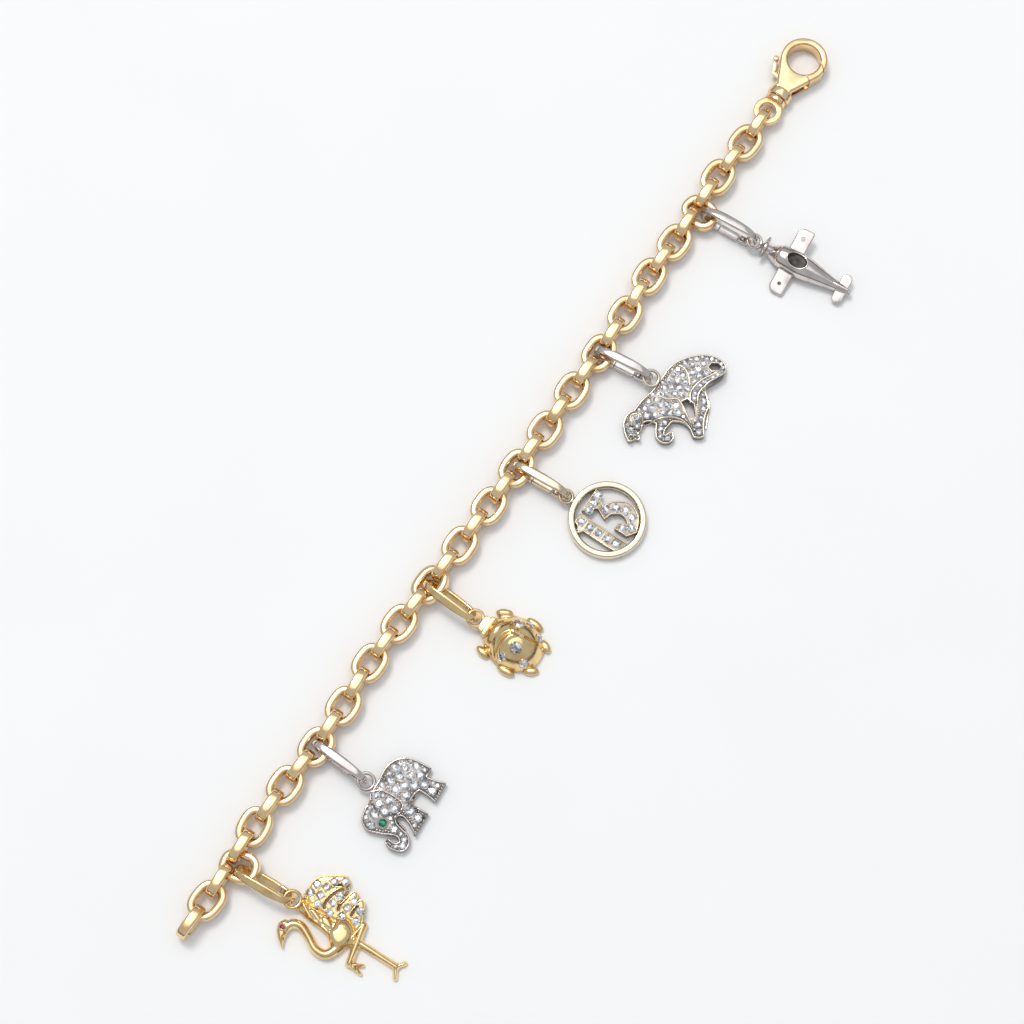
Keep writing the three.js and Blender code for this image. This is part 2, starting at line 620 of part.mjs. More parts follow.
function makeElephant() {
  const shape = outlineOf(ELEPHANT_OUTLINE, ELEPHANT_LONG, ELEPHANT_TALL);
  const eye = [ELEPHANT_EYE[0] * ELEPHANT_LONG, ELEPHANT_EYE[1] * ELEPHANT_TALL];
  const socket = EYE_STONE / 2 + STONE_GAP;
  const stones = rowsOfStones([shape.getPoints(1)], 1.25 * PAVE_STONE, 0.58 * PAVE_STONE, 0.12)
    .filter((centre) => Math.hypot(centre.x - eye[0], centre.y - eye[1]) > socket + PAVE_STONE / 2 + 0.1)
    .map((centre) => moved(stoneGeometry(PAVE_STONE, -0.3, 0), at(centre.x, centre.y, CHARM_THICK)));
  const solid = joined([slab(shape, 0, CHARM_THICK, CHARM_EDGE), bailRing(2.0), ...stones])
    .subtract(solidOf(disc(socket, 0.5 * CHARM_THICK, 2 * CHARM_THICK, 10, ...eye)));
  const stone = stoneGeometry(EYE_STONE, 0.5 * CHARM_THICK + STONE_GAP, CHARM_THICK);
  return [
    piece("elephant_charm", solid, whiteGold),
    piece("emerald_eye", solidOf(moved(stone, at(...eye, 0))), emerald),
  ];
}

const BIG_CAT_OUTLINE = [
  [[-0.072, -0.102], [-0.139, -0.078], [-0.211, -0.059], [-0.297, -0.055]],
  [[-0.297, -0.055], [-0.344, -0.016], [-0.402, -0.016], [-0.455, -0.055], [-0.507, -0.141], [-0.541, -0.227]],
  [[-0.541, -0.227], [-0.526, -0.266], [-0.493, -0.289], [-0.483, -0.344]],
  [[-0.483, -0.344], [-0.459, -0.336], [-0.44, -0.289], [-0.392, -0.281], [-0.335, -0.266], [-0.297, -0.328],
    [-0.292, -0.398]],
  [[-0.292, -0.398], [-0.344, -0.445], [-0.388, -0.508], [-0.397, -0.609], [-0.364, -0.688], [-0.311, -0.703],
    [-0.268, -0.648]],
  [[-0.268, -0.648], [-0.292, -0.602], [-0.325, -0.578], [-0.287, -0.547], [-0.201, -0.562]],
  [[-0.201, -0.562], [-0.167, -0.656], [-0.163, -0.766], [-0.191, -0.852], [-0.215, -0.906]],
  [[-0.215, -0.906], [-0.187, -0.984], [-0.153, -1.02]],
  [[-0.153, -1.02], [-0.086, -0.938], [-0.005, -0.875], [0.072, -0.844], [0.129, -0.766], [0.182, -0.656]],
  [[0.182, -0.656], [0.234, -0.672], [0.297, -0.719], [0.354, -0.758], [0.411, -0.75], [0.455, -0.68],
    [0.459, -0.547], [0.426, -0.406], [0.368, -0.289], [0.297, -0.195], [0.211, -0.125], [0.134, -0.102],
    [0.072, -0.109]],
];
const BIG_CAT_GAPS = [
  [[-0.024, -0.523], [0.01, -0.555], [0.005, -0.656], [-0.062, -0.758], [-0.096, -0.719], [-0.067, -0.609]],
  [[0.4, -0.675], [0.407, -0.619], [0.38, -0.555], [0.345, -0.547], [0.338, -0.603], [0.365, -0.667]],
];

function makeBigCat() {
  const shape = outlineOf(BIG_CAT_OUTLINE, BIG_CAT_LONG, BIG_CAT_TALL);
  const gaps = BIG_CAT_GAPS.map((loop) => polygon(loop.map(([u, v]) => [u * BIG_CAT_LONG, v * BIG_CAT_TALL])));
  let solid = joined([slab(shape, 0, CHARM_THICK, CHARM_EDGE), bailRing(2.0)]);
  for (const gap of gaps) solid = solid.subtract(solidOf(slab(gap, -CHARM_THICK, 2 * CHARM_THICK)));
  return [piece("big_cat_charm", solid, whiteGold)];
}

// Numerals as shares of the medal's diameter from its own centre
const NUMERAL_ONE = [
  [-0.345, 0.205], [-0.275, 0.27], [-0.25, 0.325], [-0.12, 0.325], [-0.12, -0.42], [-0.295, -0.4],
  [-0.295, 0.17],
];
const NUMERAL_THREE = [
  [[-0.08, 0.33], [0.27, 0.33]],
  [[0.27, 0.33], [0.11, 0.14]],
  [[0.11, 0.14], [0.24, 0.06], [0.33, -0.12], [0.25, -0.3], [0.06, -0.4]],
  [[0.06, -0.4], [-0.05, -0.32]],
  [[-0.05, -0.32], [-0.05, -0.14]],
  [[-0.05, -0.14], [0.04, -0.14]],
  [[0.04, -0.14], [0.09, -0.24], [0.15, -0.12], [0.08, 0.0]],
  [[0.08, 0.0], [-0.02, 0.03]],
  [[-0.02, 0.03], [0.05, 0.18]],
  [[0.05, 0.18], [-0.08, 0.18]],
];
const NUMERAL_STONES = [
  [-0.205, 0.255], [-0.205, 0.125], [-0.205, -0.005], [-0.205, -0.13], [-0.205, -0.255],
  [-0.025, 0.255], [0.085, 0.255], [0.19, 0.27], [0.1, 0.085], [0.185, -0.01], [0.225, -0.13],
  [0.185, -0.245], [0.08, -0.31], [0.01, -0.225],
];

function makeMedal() {
  const centre = MEDAL_MIDDLE;
  const thick = 0.82 * CHARM_THICK;
  const outer = MEDAL_ACROSS / 2;
  const inner = outer - MEDAL_RIM;
  const rim = moved(new THREE.LatheGeometry([
    [inner, 0], [outer - 0.25, 0], [outer, 0.5 * thick], [outer - 0.25, thick], [inner, thick], [inner, 0],
  ].map(([r, z]) => new THREE.Vector2(r, z)), 24), at(...centre, 0), turned([1, 0, 0], Math.PI / 2));
  const one = polygon(NUMERAL_ONE.map(([u, v]) => [u * MEDAL_ACROSS, v * MEDAL_ACROSS]));
  const three = outlineOf(NUMERAL_THREE, MEDAL_ACROSS, MEDAL_ACROSS);
  const numerals = [one, three].map((shape) => moved(slab(shape, 0.1, NUMERAL_THICK, 0, 2), at(...centre, 0)));
  const stones = NUMERAL_STONES.map(([u, v]) => moved(stoneGeometry(PAVE_STONE, -0.3, 0),
    at(centre[0] + u * MEDAL_ACROSS, centre[1] + v * MEDAL_ACROSS, NUMERAL_THICK)));
  return [piece("medal_charm", joined([rim, ...numerals, bailRing(1.75, 0.86), ...stones]), paleGold)];
}

// Ladybird: stones on the wing cases as shares of the body's width and length from its middle
const BEETLE_STONES = [
  { across: -0.12, along: -0.09, size: BIG_STONE },
  { across: -0.395, along: 0.03, size: SMALL_STONE },
  { across: -0.26, along: -0.33, size: SMALL_STONE },
  { across: 0.33, along: 0.1, size: SMALL_STONE },
  { across: 0.46, along: -0.05, size: SMALL_STONE },
  { across: 0.33, along: -0.3, size: SMALL_STONE },
];
const BEETLE_OUTLINE = [[
  [0.165, 0.51], [0.0, 0.5], [-0.209, 0.49], [-0.363, 0.382], [-0.473, 0.206], [-0.505, 0.069], [-0.473, -0.118],
  [-0.396, -0.265], [-0.264, -0.392], [-0.121, -0.47], [0.022, -0.49], [0.176, -0.47], [0.297, -0.392],
  [0.429, -0.245], [0.484, -0.069], [0.495, 0.078], [0.44, 0.245], [0.363, 0.392], [0.253, 0.47],
]];
const BEETLE_SPLIT = [[0.04, 0.15], [0.02, -0.16], [-0.05, -0.55], [0.14, -0.55], [0.07, -0.16]];
const BEETLE_LEGS = [
  { across: -0.465, along: 0.355, turn: 12, long: 2.7 },
  { across: 0.37, along: 0.43, turn: -30, long: 2.9 },
  { across: -0.51, along: -0.13, turn: -4, long: 3.3 },
  { across: 0.51, along: -0.09, turn: 4, long: 3.3 },
  { across: -0.25, along: -0.475, turn: -35, long: 2.7 },
  { across: 0.28, along: -0.44, turn: 25, long: 2.5 },
];

function halfEllipsoid(halfWide, halfLong, high, x, y, across = 14, up = 3) {
  const geometry = new THREE.SphereGeometry(1, across, up, 0, 2 * Math.PI, 0, Math.PI / 2);
  const base = new THREE.CircleGeometry(1, across).rotateX(Math.PI / 2);
  const dome = solidOf(closedDome(geometry, base));
  return { dome, place: moved(geometryOf(dome), at(x, y, 0), turned([1, 0, 0], Math.PI / 2),
    new THREE.Matrix4().makeScale(halfWide, high, halfLong)) };
}

// The upper half of a sphere closed by a flat base
function closedDome(cap, base) {
  const points = [];
  for (const source of [cap, base]) {
    const flat = source.index ? source.toNonIndexed() : source;
    points.push(...flat.attributes.position.array);
  }
  const geometry = new THREE.BufferGeometry();
  geometry.setAttribute("position", new THREE.Float32BufferAttribute(points, 3));
  return geometry;
}

function makeBeetle() {
  const middle = BEETLE_MIDDLE;
  const skirt = moved(slab(outlineOf(BEETLE_OUTLINE, BEETLE_WIDE, BEETLE_LONG), 0.1, 1.1, 0, 1),
    at(...middle, 0));
  const body = halfEllipsoid(BEETLE_WIDE / 2, BEETLE_LONG / 2, BEETLE_HIGH, ...middle).place;
  const head = halfEllipsoid(0.34 * BEETLE_WIDE, 0.15 * BEETLE_LONG, 0.75 * BEETLE_HIGH,
    middle[0] - 0.25, middle[1] + 0.36 * BEETLE_LONG, 10, 3).place;
  const neck = slab(polygon([[-1.2, -1.1], [1.3, -1.1], [1.9, -3.2], [-1.7, -3.2]]), 0.4, 2.6);
  const legs = BEETLE_LEGS.map((leg) => moved(new THREE.SphereGeometry(1, 6, 3),
    at(middle[0] + leg.across * BEETLE_WIDE, middle[1] + leg.along * BEETLE_LONG, 0.62),
    turned([0, 0, 1], THREE.MathUtils.degToRad(-leg.turn)),
    new THREE.Matrix4().makeScale(0.68, leg.long / 2, 0.6)));
  const split = moved(slab(polygon(BEETLE_SPLIT.map(([u, v]) => [u * BEETLE_WIDE, v * BEETLE_LONG])),
    0.68 * BEETLE_HIGH, 1.1 * BEETLE_HIGH), at(...middle, 0));
  let solid = joined([skirt, body, head, neck, bailRing(2.2), ...legs]).subtract(solidOf(split));
  const stones = BEETLE_STONES.map((stone, i) => {
    const place = beetleSeat(middle, stone);
    const pocket = disc(stone.size / 2 + STONE_GAP, -0.65, 2, 8);
    solid = solid.subtract(solidOf(moved(pocket, place)));
    const cut = moved(stoneGeometry(stone.size, -0.5, 0.02), place);
    return piece(`diamond_${i + 1}`, solidOf(cut), diamond);
  });
  return [piece("ladybird_charm", solid, yellowGold), ...stones];
}

// The frame of a stone on the dome: its place on the surface, with Z along the surface's normal
function beetleSeat(middle, stone) {
  const halfWide = BEETLE_WIDE / 2;
  const halfLong = BEETLE_LONG / 2;
  const x = stone.across * BEETLE_WIDE * 0.94;
  const y = stone.along * BEETLE_LONG;
  const z = BEETLE_HIGH * Math.sqrt(1 - (x / halfWide) ** 2 - (y / halfLong) ** 2);
  const normal = new THREE.Vector3(x / halfWide ** 2, y / halfLong ** 2, z / BEETLE_HIGH ** 2).normalize();
  const spin = new THREE.Quaternion().setFromUnitVectors(new THREE.Vector3(0, 0, 1), normal);
  return new THREE.Matrix4().makeRotationFromQuaternion(spin)
    .setPosition(middle[0] + x, middle[1] + y, z - 0.08);
}

// Wading bird. Shares of its length and height from the bail's centre.
const BIRD_NECK = [
  { at: [-0.31, -0.075], half: 0.042 }, { at: [-0.205, -0.1], half: 0.05 }, { at: [-0.17, -0.17], half: 0.046 },
  { at: [-0.215, -0.265], half: 0.044 }, { at: [-0.275, -0.36], half: 0.046 },
  { at: [-0.26, -0.45], half: 0.048 }, { at: [-0.15, -0.49], half: 0.052 }, { at: [-0.02, -0.5], half: 0.06 },
];
const BIRD_HEAD = [
  [[-0.465, -0.155], [-0.42, -0.09], [-0.35, -0.035], [-0.27, -0.012], [-0.2, -0.04]],
  [[-0.2, -0.04], [-0.2, -0.13]],
  [[-0.2, -0.13], [-0.28, -0.115], [-0.38, -0.125], [-0.465, -0.155]],
];
const BIRD_CHEST = [
  [[-0.06, -0.06], [0.1, -0.06]],
  [[0.1, -0.06], [0.07, -0.2], [0.11, -0.33], [0.17, -0.42], [0.16, -0.51], [0.06, -0.555], [-0.02, -0.58]],
  [[-0.02, -0.58], [-0.12, -0.53], [-0.2, -0.5], [-0.15, -0.43], [-0.09, -0.37], [-0.078, -0.22], [-0.06, -0.06]],
];
const BIRD_WING = [
  [[0.1, -0.045], [0.24, -0.018], [0.35, -0.04], [0.43, -0.12], [0.52, -0.235], [0.465, -0.3]],
  [[0.465, -0.3], [0.4, -0.225], [0.345, -0.195]],
  [[0.345, -0.195], [0.41, -0.265], [0.38, -0.3], [0.24, -0.315]],
  [[0.24, -0.315], [0.36, -0.33], [0.44, -0.355], [0.41, -0.405], [0.3, -0.41]],
  [[0.3, -0.41], [0.4, -0.425], [0.39, -0.48], [0.28, -0.52], [0.19, -0.56]],
  [[0.19, -0.56], [0.02, -0.55]],
  [[0.02, -0.55], [0.07, -0.4], [0.04, -0.2], [0.1, -0.045]],
];
const BIRD_STONES = [
  [0.19, -0.06], [0.3, -0.06], [0.14, -0.135], [0.25, -0.13], [0.35, -0.125], [0.425, -0.18], [0.47, -0.245],
  [0.17, -0.25], [0.26, -0.25], [0.35, -0.255], [0.2, -0.365], [0.29, -0.365], [0.38, -0.37],
  [0.22, -0.465], [0.32, -0.455],
];
const BIRD_LIMBS = [
  { from: [0.2, -0.55], to: [-0.2, -0.635], half: 0.024 },
  { from: [-0.2, -0.635], to: [-0.215, -0.755], half: 0.018 },
  { from: [-0.19, -0.66], to: [-0.13, -0.735], half: 0.016 },
  { from: [0.03, -0.57], to: [0.05, -0.95], half: 0.032 },
  { from: [0.05, -0.945], to: [-0.05, -0.995], half: 0.024 },
  { from: [0.05, -0.945], to: [0.13, -0.99], half: 0.024 },
];

function makeBird() {
  const point = ([u, v]) => [u * BIRD_LONG, v * BIRD_TALL];
  const high = 0.9 * CHARM_THICK;
  const neckStops = BIRD_NECK.map((row, i) => {
    const before = point(BIRD_NECK[Math.max(i - 1, 0)].at);
    const after = point(BIRD_NECK[Math.min(i + 1, BIRD_NECK.length - 1)].at);
    const along = new THREE.Vector2(after[0] - before[0], after[1] - before[1]).normalize();
    const [x, y] = point(row.at);
    return { x, y, out: new THREE.Vector2(along.y, -along.x), half: row.half * BIRD_LONG };
  });
  const neckProfile = [[0.9, 0.5], [0.8, -1], [-0.8, -1], [-0.9, 0.5], [0, 1]];
  const neck = loft(neckStops.map((stop) => neckProfile.map(([a, b]) => new THREE.Vector3(
    stop.x + stop.out.x * a * stop.half, stop.y + stop.out.y * a * stop.half, (high * (1 + b)) / 2))), false);
  const limbs = BIRD_LIMBS.map((limb) => slab(capsule(point(limb.from), point(limb.to), limb.half * BIRD_LONG),
    0.15, 0.62 * CHARM_THICK, 0, 2));
  const stones = BIRD_STONES.map((spot) => moved(stoneGeometry(PLUME_STONE, -0.4, 0), at(...point(spot), high)));
  const eye = point([-0.285, -0.06]);
  const socket = disc(RUBY_STONE / 2 + STONE_GAP, 0.5 * high, 2 * high, 8, ...eye);
  const solid = joined([
    slab(outlineOf(BIRD_HEAD, BIRD_LONG, BIRD_TALL), 0.2, high),
    neck,
    slab(outlineOf(BIRD_CHEST, BIRD_LONG, BIRD_TALL), 0, high + 0.15, 0.2),
    slab(outlineOf(BIRD_WING, BIRD_LONG, BIRD_TALL), 0, high),
    ...limbs,
    bailRing(2.05),
    ...stones,
  ]).subtract(solidOf(socket));
  const stone = stoneGeometry(RUBY_STONE, 0.5 * high + STONE_GAP, high - 0.03);
  return [
    piece("flamingo_charm", solid, yellowGold),
    piece("ruby_eye", solidOf(moved(stone, at(...eye, 0))), ruby),
  ];
}

// Propeller plane. Sections of the fuselage: place as a share of its length from the cowling's
// front, half width and half height as shares of its width.
const FUSELAGE = [
  { along: 0.0, wide: 0.24, high: 0.24 }, { along: 0.03, wide: 0.36, high: 0.34 },
  { along: 0.11, wide: 0.44, high: 0.42 }, { along: 0.22, wide: 0.5, high: 0.46 },
  { along: 0.38, wide: 0.52, high: 0.45 }, { along: 0.56, wide: 0.41, high: 0.38 },
  { along: 0.76, wide: 0.26, high: 0.26 }, { along: 0.88, wide: 0.18, high: 0.19 },
  { along: 1.0, wide: 0.12, high: 0.13 },
];
const WING_ROLL = THREE.MathUtils.degToRad(12);

function makePlane() {
  const nose = -3.2;
  const sides = 8;
  const belly = 0.46 * PLANE_WIDE;
  const rings = FUSELAGE.map((row) => Array.from({ length: sides }, (_, i) => {
    const angle = ((i + 0.5) * 2 * Math.PI) / sides;
    return new THREE.Vector3(row.wide * PLANE_WIDE * Math.cos(angle), nose - row.along * PLANE_LONG,
      belly - 0.4 * (belly - row.high * PLANE_WIDE) + row.high * PLANE_WIDE * Math.sin(angle));
  }));
  const wingY = nose - 0.26 * PLANE_LONG;
  const tailY = nose - 0.9 * PLANE_LONG;
  const halfSpan = WING_SPAN / 2;
  const halfChord = WING_CHORD / 2;
  const wing = roundedBar(halfSpan, halfChord, 0.45, 1.3);
  for (const side of [-1, 1]) {
    wing.holes.push(new THREE.Path().absarc(side * 0.7 * halfSpan, 0, 0.32, 0, 2 * Math.PI, true));
  }
  const roll = turned([0, 1, 0], -WING_ROLL);
  const wings = moved(slab(wing, -WING_THICK / 2, WING_THICK / 2, 0, 2), at(0, wingY, 0.86 * belly), roll);
  const tail = moved(slab(roundedBar(0.42 * PLANE_WIDE + 0.95, 0.95, 0.93, 0.93), -0.3, 0.3, 0, 2),
    at(0, tailY, 0.75 * belly), roll);
  const fin = moved(new THREE.BoxGeometry(0.5, 0.2 * PLANE_LONG, 1.5), at(0, tailY + 0.4, 0.75 * belly + 0.6), roll);
  const propeller = moved(new THREE.SphereGeometry(1, 10, 4), at(0, nose + 1.1, belly),
    new THREE.Matrix4().makeScale(2.25, 0.45, 0.75));
  const hub = moved(new THREE.CylinderGeometry(0.8, 0.8, 2.6, 8), at(0, nose + 0.7, belly));
  const cockpit = moved(new THREE.SphereGeometry(1, 10, 5), at(0, nose - 0.32 * PLANE_LONG, 2 * belly),
    new THREE.Matrix4().makeScale(1.0, 1.7, 1.3));
  const solid = joined([loft(rings, false), wings, tail, fin, propeller, hub, bailRing(2.0, 0.92)])
    .subtract(solidOf(cockpit));
  return [piece("plane_charm", solid, whiteGold)];
}

// A flat bar along X with rounded corners, of one radius behind and another in front
function roundedBar(halfLong, halfWide, back, front) {
  const shape = new THREE.Shape();
  const quarter = Math.PI / 2;
  shape.absarc(halfLong - back, back - halfWide, back, -quarter, 0, false);
  shape.absarc(halfLong - front, halfWide - front, front, 0, quarter, false);
  shape.absarc(front - halfLong, halfWide - front, front, quarter, 2 * quarter, false);
  shape.absarc(back - halfLong, back - halfWide, back, 2 * quarter, 3 * quarter, false);
  return shape;
}

// Carriers and their charms: the flat link each hangs on, its offset from that link's crossing
// along and across the chain, its lean and turn in degrees, how far its bail lies back from its far
// end and to one side, the charm's own swing, its metal and its charm.
const HANGERS = [
  { name: "flamingo", link: 1, along: 0.97, across: -1.0, lean: -25, turn: 5, lift: 0, slip: 0.45, aside: -0.03,
    swing: 0, metal: yellowGold, make: makeBird },
  { name: "elephant", link: 4, along: 0.12, across: 0.9, lean: 3, turn: -1.2, lift: 0, slip: 0.16, aside: 0.07,
    swing: 0, metal: whiteGold, make: makeElephant },
  { name: "ladybird", link: 8, along: 1.03, across: 1.0, lean: -26, turn: -2.3, lift: 0.06, slip: 0.52, aside: -0.16,
    swing: 0, metal: yellowGold, make: makeBeetle },
  { name: "medal", link: 11, along: -0.02, across: 0.84, lean: 2.6, turn: 4.1, lift: 0, slip: 0.58, aside: 0,
    swing: 1, metal: paleGold, make: makeMedal },
  { name: "big_cat", link: 14, along: -0.14, across: 0.9, lean: 2.9, turn: 6.7, lift: 0, slip: 0.3, aside: 0.25,
    swing: 0, metal: whiteGold, make: makeBigCat },
  { name: "plane", link: 18, along: -0.27, across: -1.02, lean: 7.6, turn: 3.9, lift: 0, slip: 0.5, aside: 0.15,
    swing: 5.1, metal: whiteGold, make: makePlane },
];

function makeHanger(row) {
  const link = chainLinks.flat[row.link];
  const lean = THREE.MathUtils.degToRad(row.lean);
  const turn = THREE.MathUtils.degToRad(row.turn);
  const carrier = new THREE.Group();
  carrier.position.set(link.crossX + row.along, link.crossY + row.across,
    (CARRIER_WIDE / 2) * Math.abs(Math.sin(lean)) + row.lift);
  carrier.rotation.set(0, lean, turn, "ZYX");
  carrier.add(makeCarrier(row.name, row.metal), makeGate(row.name, row.metal));
  carrier.updateMatrix();
  const bail = new THREE.Vector3(row.aside, row.slip - CARRIER_LONG, 0.38 * CARRIER_HIGH).applyMatrix4(carrier.matrix);
  const charm = new THREE.Group();
  charm.position.set(bail.x, bail.y, 0);
  charm.rotation.z = THREE.MathUtils.degToRad(row.swing);
  charm.add(...row.make());
  return [carrier, charm];
}

const bracelet = new THREE.Group();
bracelet.position.set(-FOOTPRINT_MIDDLE.x, -FOOTPRINT_MIDDLE.y, 0);
bracelet.add(makeChain(), makeClasp(), ...HANGERS.flatMap(makeHanger));

export default bracelet;
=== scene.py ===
"""Charm bracelet laid open: a link chain with a sprung clasp and six charms on gated carriers."""

import logging
import math
from collections.abc import Callable, Iterable, Sequence
from dataclasses import dataclass, field
from enum import Enum

import bmesh
import bpy
import numpy as np
from mathutils import Matrix, Vector


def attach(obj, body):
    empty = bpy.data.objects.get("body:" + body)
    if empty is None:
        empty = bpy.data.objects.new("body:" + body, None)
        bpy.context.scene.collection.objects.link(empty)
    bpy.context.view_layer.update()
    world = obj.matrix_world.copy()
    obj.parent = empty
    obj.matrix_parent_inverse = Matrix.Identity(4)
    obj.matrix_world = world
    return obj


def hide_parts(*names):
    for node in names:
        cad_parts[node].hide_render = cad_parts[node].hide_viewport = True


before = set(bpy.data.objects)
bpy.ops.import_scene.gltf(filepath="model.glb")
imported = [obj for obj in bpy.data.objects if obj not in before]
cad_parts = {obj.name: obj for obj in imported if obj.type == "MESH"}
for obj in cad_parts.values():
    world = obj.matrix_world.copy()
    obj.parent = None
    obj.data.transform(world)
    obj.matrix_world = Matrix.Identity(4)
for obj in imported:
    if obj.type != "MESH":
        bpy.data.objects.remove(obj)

LOG = logging.getLogger("bracelet")
METRES = 0.001
Point = tuple[float, float]
Place = tuple[float, float, float]
Mesh = bmesh.types.BMesh

# The chain's route was measured from another origin, which lies here in the row frame
ROUTE_ORIGIN = Vector((-7.505, 13.755, 0.0))


class Slot(str, Enum):
    """The record's material slots."""

    YELLOW = "yellow_gold"
    WHITE = "white_gold"
    PALE = "pale_gold"
    DIAMOND = "diamond"
    EMERALD = "emerald"
    RUBY = "ruby"


# Points and paths


def run_through(points: Sequence[Sequence[float]], steps: int = 6) -> list[np.ndarray]:
    """Points along a smooth curve through the given ones.

    Args:
        points: places the curve goes through, in any number of dimensions.
        steps: how many parts each span is cut into.

    Returns:
        The curve's points, the last given one included.
    """
    rows = [np.asarray(p, float) for p in points]
    if len(rows) < 3:
        return rows
    padded = [rows[0], *rows, rows[-1]]
    out = []
    for a, b, c, d in zip(padded, padded[1:], padded[2:], padded[3:]):
        for k in range(steps):
            t = k / steps
            out.append(0.5 * (2 * b + (c - a) * t + (2 * a - 5 * b + 4 * c - d) * t**2
                              + (3 * b - a - 3 * c + d) * t**3))
    return [*out, rows[-1]]


def curve(*points: Sequence[float]) -> np.ndarray:
    """A smooth curve through the given points, one point per row."""
    return np.array(run_through(points))


def scaled(points: Sequence[Point], long: float, tall: float) -> np.ndarray:
    """Points given as shares of a length and a height."""
    return np.array(points, float) * (long, tall)


def outline_of(runs: Sequence[Sequence[Point]], long: float, tall: float) -> np.ndarray:
    """A closed outline from smooth runs of shares, with a corner where one run meets the next."""
    return scaled([p for run in runs for p in run_through(run)[:-1]], long, tall)


def arc(centre: Point, radius: float, start: float, end: float, steps: int) -> list[Point]:
    """Points along part of a circle, both ends included."""
    turns = [start + (end - start) * i / steps for i in range(steps + 1)]
    return [(centre[0] + radius * math.cos(t), centre[1] + radius * math.sin(t)) for t in turns]


def circle(centre: Point, radius: float, high: float, steps: int, offset: float = 0.0) -> list[Place]:
    """Points round a level circle, the first not repeated, turned by an offset in steps."""
    turns = (np.arange(steps) + offset) * math.pi / (steps / 2)
    return [(centre[0] + radius * math.cos(t), centre[1] + radius * math.sin(t), high) for t in turns]


def round_section(sides: int) -> list[Point]:
    """A round bar's section, as shares of its half sizes."""
    return [(x, y) for x, y, _ in circle((0, 0), 1, 0, sides)]


def along_path(xy: np.ndarray, path: np.ndarray) -> tuple[np.ndarray, np.ndarray]:
    """How far each point lies from an open path, and how far along the path its nearest place is.

    Args:
        xy: the points, one per row.
        path: the path's own points.

    Returns:
        The distances, and the places as fractional indices into the path.
    """
    best = np.full(len(xy), np.inf)
    place = np.zeros(len(xy))
    for i, (a, b) in enumerate(zip(path[:-1], path[1:])):
        edge = b - a
        share = np.clip(((xy - a) @ edge) / max(edge @ edge, 1e-12), 0, 1)
        away = np.linalg.norm(xy - a - share[:, None] * edge, axis=1)
        nearer = away < best
        best = np.where(nearer, away, best)
        place = np.where(nearer, i + share, place)
    return best, place


def room_inside(xy: np.ndarray, loop: np.ndarray) -> np.ndarray:
    """How far each point lies inside a closed loop; negative outside it.

    Args:
        xy: the points, one per row.
        loop: the loop's corners, the first not repeated.

    Returns:
        Each point's distance from the loop, with its sign.
    """
    away, _ = along_path(xy, np.vstack([loop, loop[:1]]))
    inside = np.zeros(len(xy), bool)
    for a, b in zip(loop, np.roll(loop, -1, axis=0)):
        if a[1] == b[1]:
            continue
        spans = (a[1] > xy[:, 1]) != (b[1] > xy[:, 1])
        inside ^= spans & (xy[:, 0] < a[0] + (xy[:, 1] - a[1]) / (b[1] - a[1]) * (b[0] - a[0]))
    return np.where(inside, away, -away)


# Meshes. Everything is modelled in millimetres.

# Steps in a quarter of a rounded rim, and round the end of a bar
RIM_STEPS = 5
CAP_STEPS = 10


def joined(parts: Iterable[Mesh]) -> Mesh:
    """One mesh holding all the given ones, which are used up.

    Args:
        parts: the meshes.

    Returns:
        The whole, its parts not welded.
    """
    whole = bmesh.new()
    for part in parts:
        held = bpy.data.meshes.new("held")
        part.to_mesh(held)
        part.free()
        whole.from_mesh(held)
        bpy.data.meshes.remove(held)
    return whole


def placed(bm: Mesh, *matrices: Matrix) -> Mesh:
    """The mesh moved by the product of the matrices.

    Args:
        bm: the mesh, changed in place.
        matrices: the moves, the last one done first.

    Returns:
        The same mesh.
    """
    whole = Matrix.Identity(4)
    for matrix in matrices:
        whole = whole @ matrix
    bm.transform(whole)
    return bm


def copies(bm: Mesh, places: Iterable[Matrix]) -> Mesh:
    """One mesh with a copy of bm at every place."""
    return joined(placed(bm.copy(), place) for place in places)


def soften(bm: Mesh, width: float, segments: int, angle: float = 35.0) -> Mesh:
    """Rounds every edge where two faces meet at more than the angle in degrees.

    Args:
        bm: the mesh, changed in place.
        width: how far the rounding reaches from an edge.
        segments: its steps.
        angle: edges flatter than this stay.

    Returns:
        The same mesh.
    """
    bmesh.ops.recalc_face_normals(bm, faces=bm.faces)
    edges = [e for e in bm.edges if len(e.link_faces) == 2 and e.calc_face_angle(0) > math.radians(angle)]
    bmesh.ops.bevel(bm, geom=edges, offset=width, offset_type="OFFSET", segments=segments, profile=0.5,
                    affect="EDGES", clamp_overlap=True, material=-1)
    return bm


def slab(loop: Sequence[Sequence[float]], low: float, high: float) -> Mesh:
    """A flat outline raised from one height to another.

    Args:
        loop: the outline's corners.
        low: the underside's height.
        high: the top's height.

    Returns:
        The closed solid.
    """
    bm = bmesh.new()
    face = bm.faces.new([bm.verts.new((x, y, low)) for x, y in loop])
    grown = bmesh.ops.extrude_face_region(bm, geom=[face])
    tops = [v for v in grown["geom"] if isinstance(v, bmesh.types.BMVert)]
    bmesh.ops.translate(bm, verts=tops, vec=(0, 0, high - low))
    bmesh.ops.recalc_face_normals(bm, faces=bm.faces)
    return bm


def rounded_levels(half: float, radius: float) -> list[Point]:
    """How far a rounded rim is drawn in, and its height, from the top of a plate to its underside.

    Args:
        half: half the plate's thickness.
        radius: the rounding's radius.

    Returns:
        Pairs of inset and height.
    """
    turns = [math.pi / 2 * (1 - i / RIM_STEPS) for i in range(RIM_STEPS + 1)]
    upper = [(radius * (1 - math.cos(t)), half - radius * (1 - math.sin(t))) for t in turns]
    return [*upper, *[(inset, -high) for inset, high in reversed(upper)]]


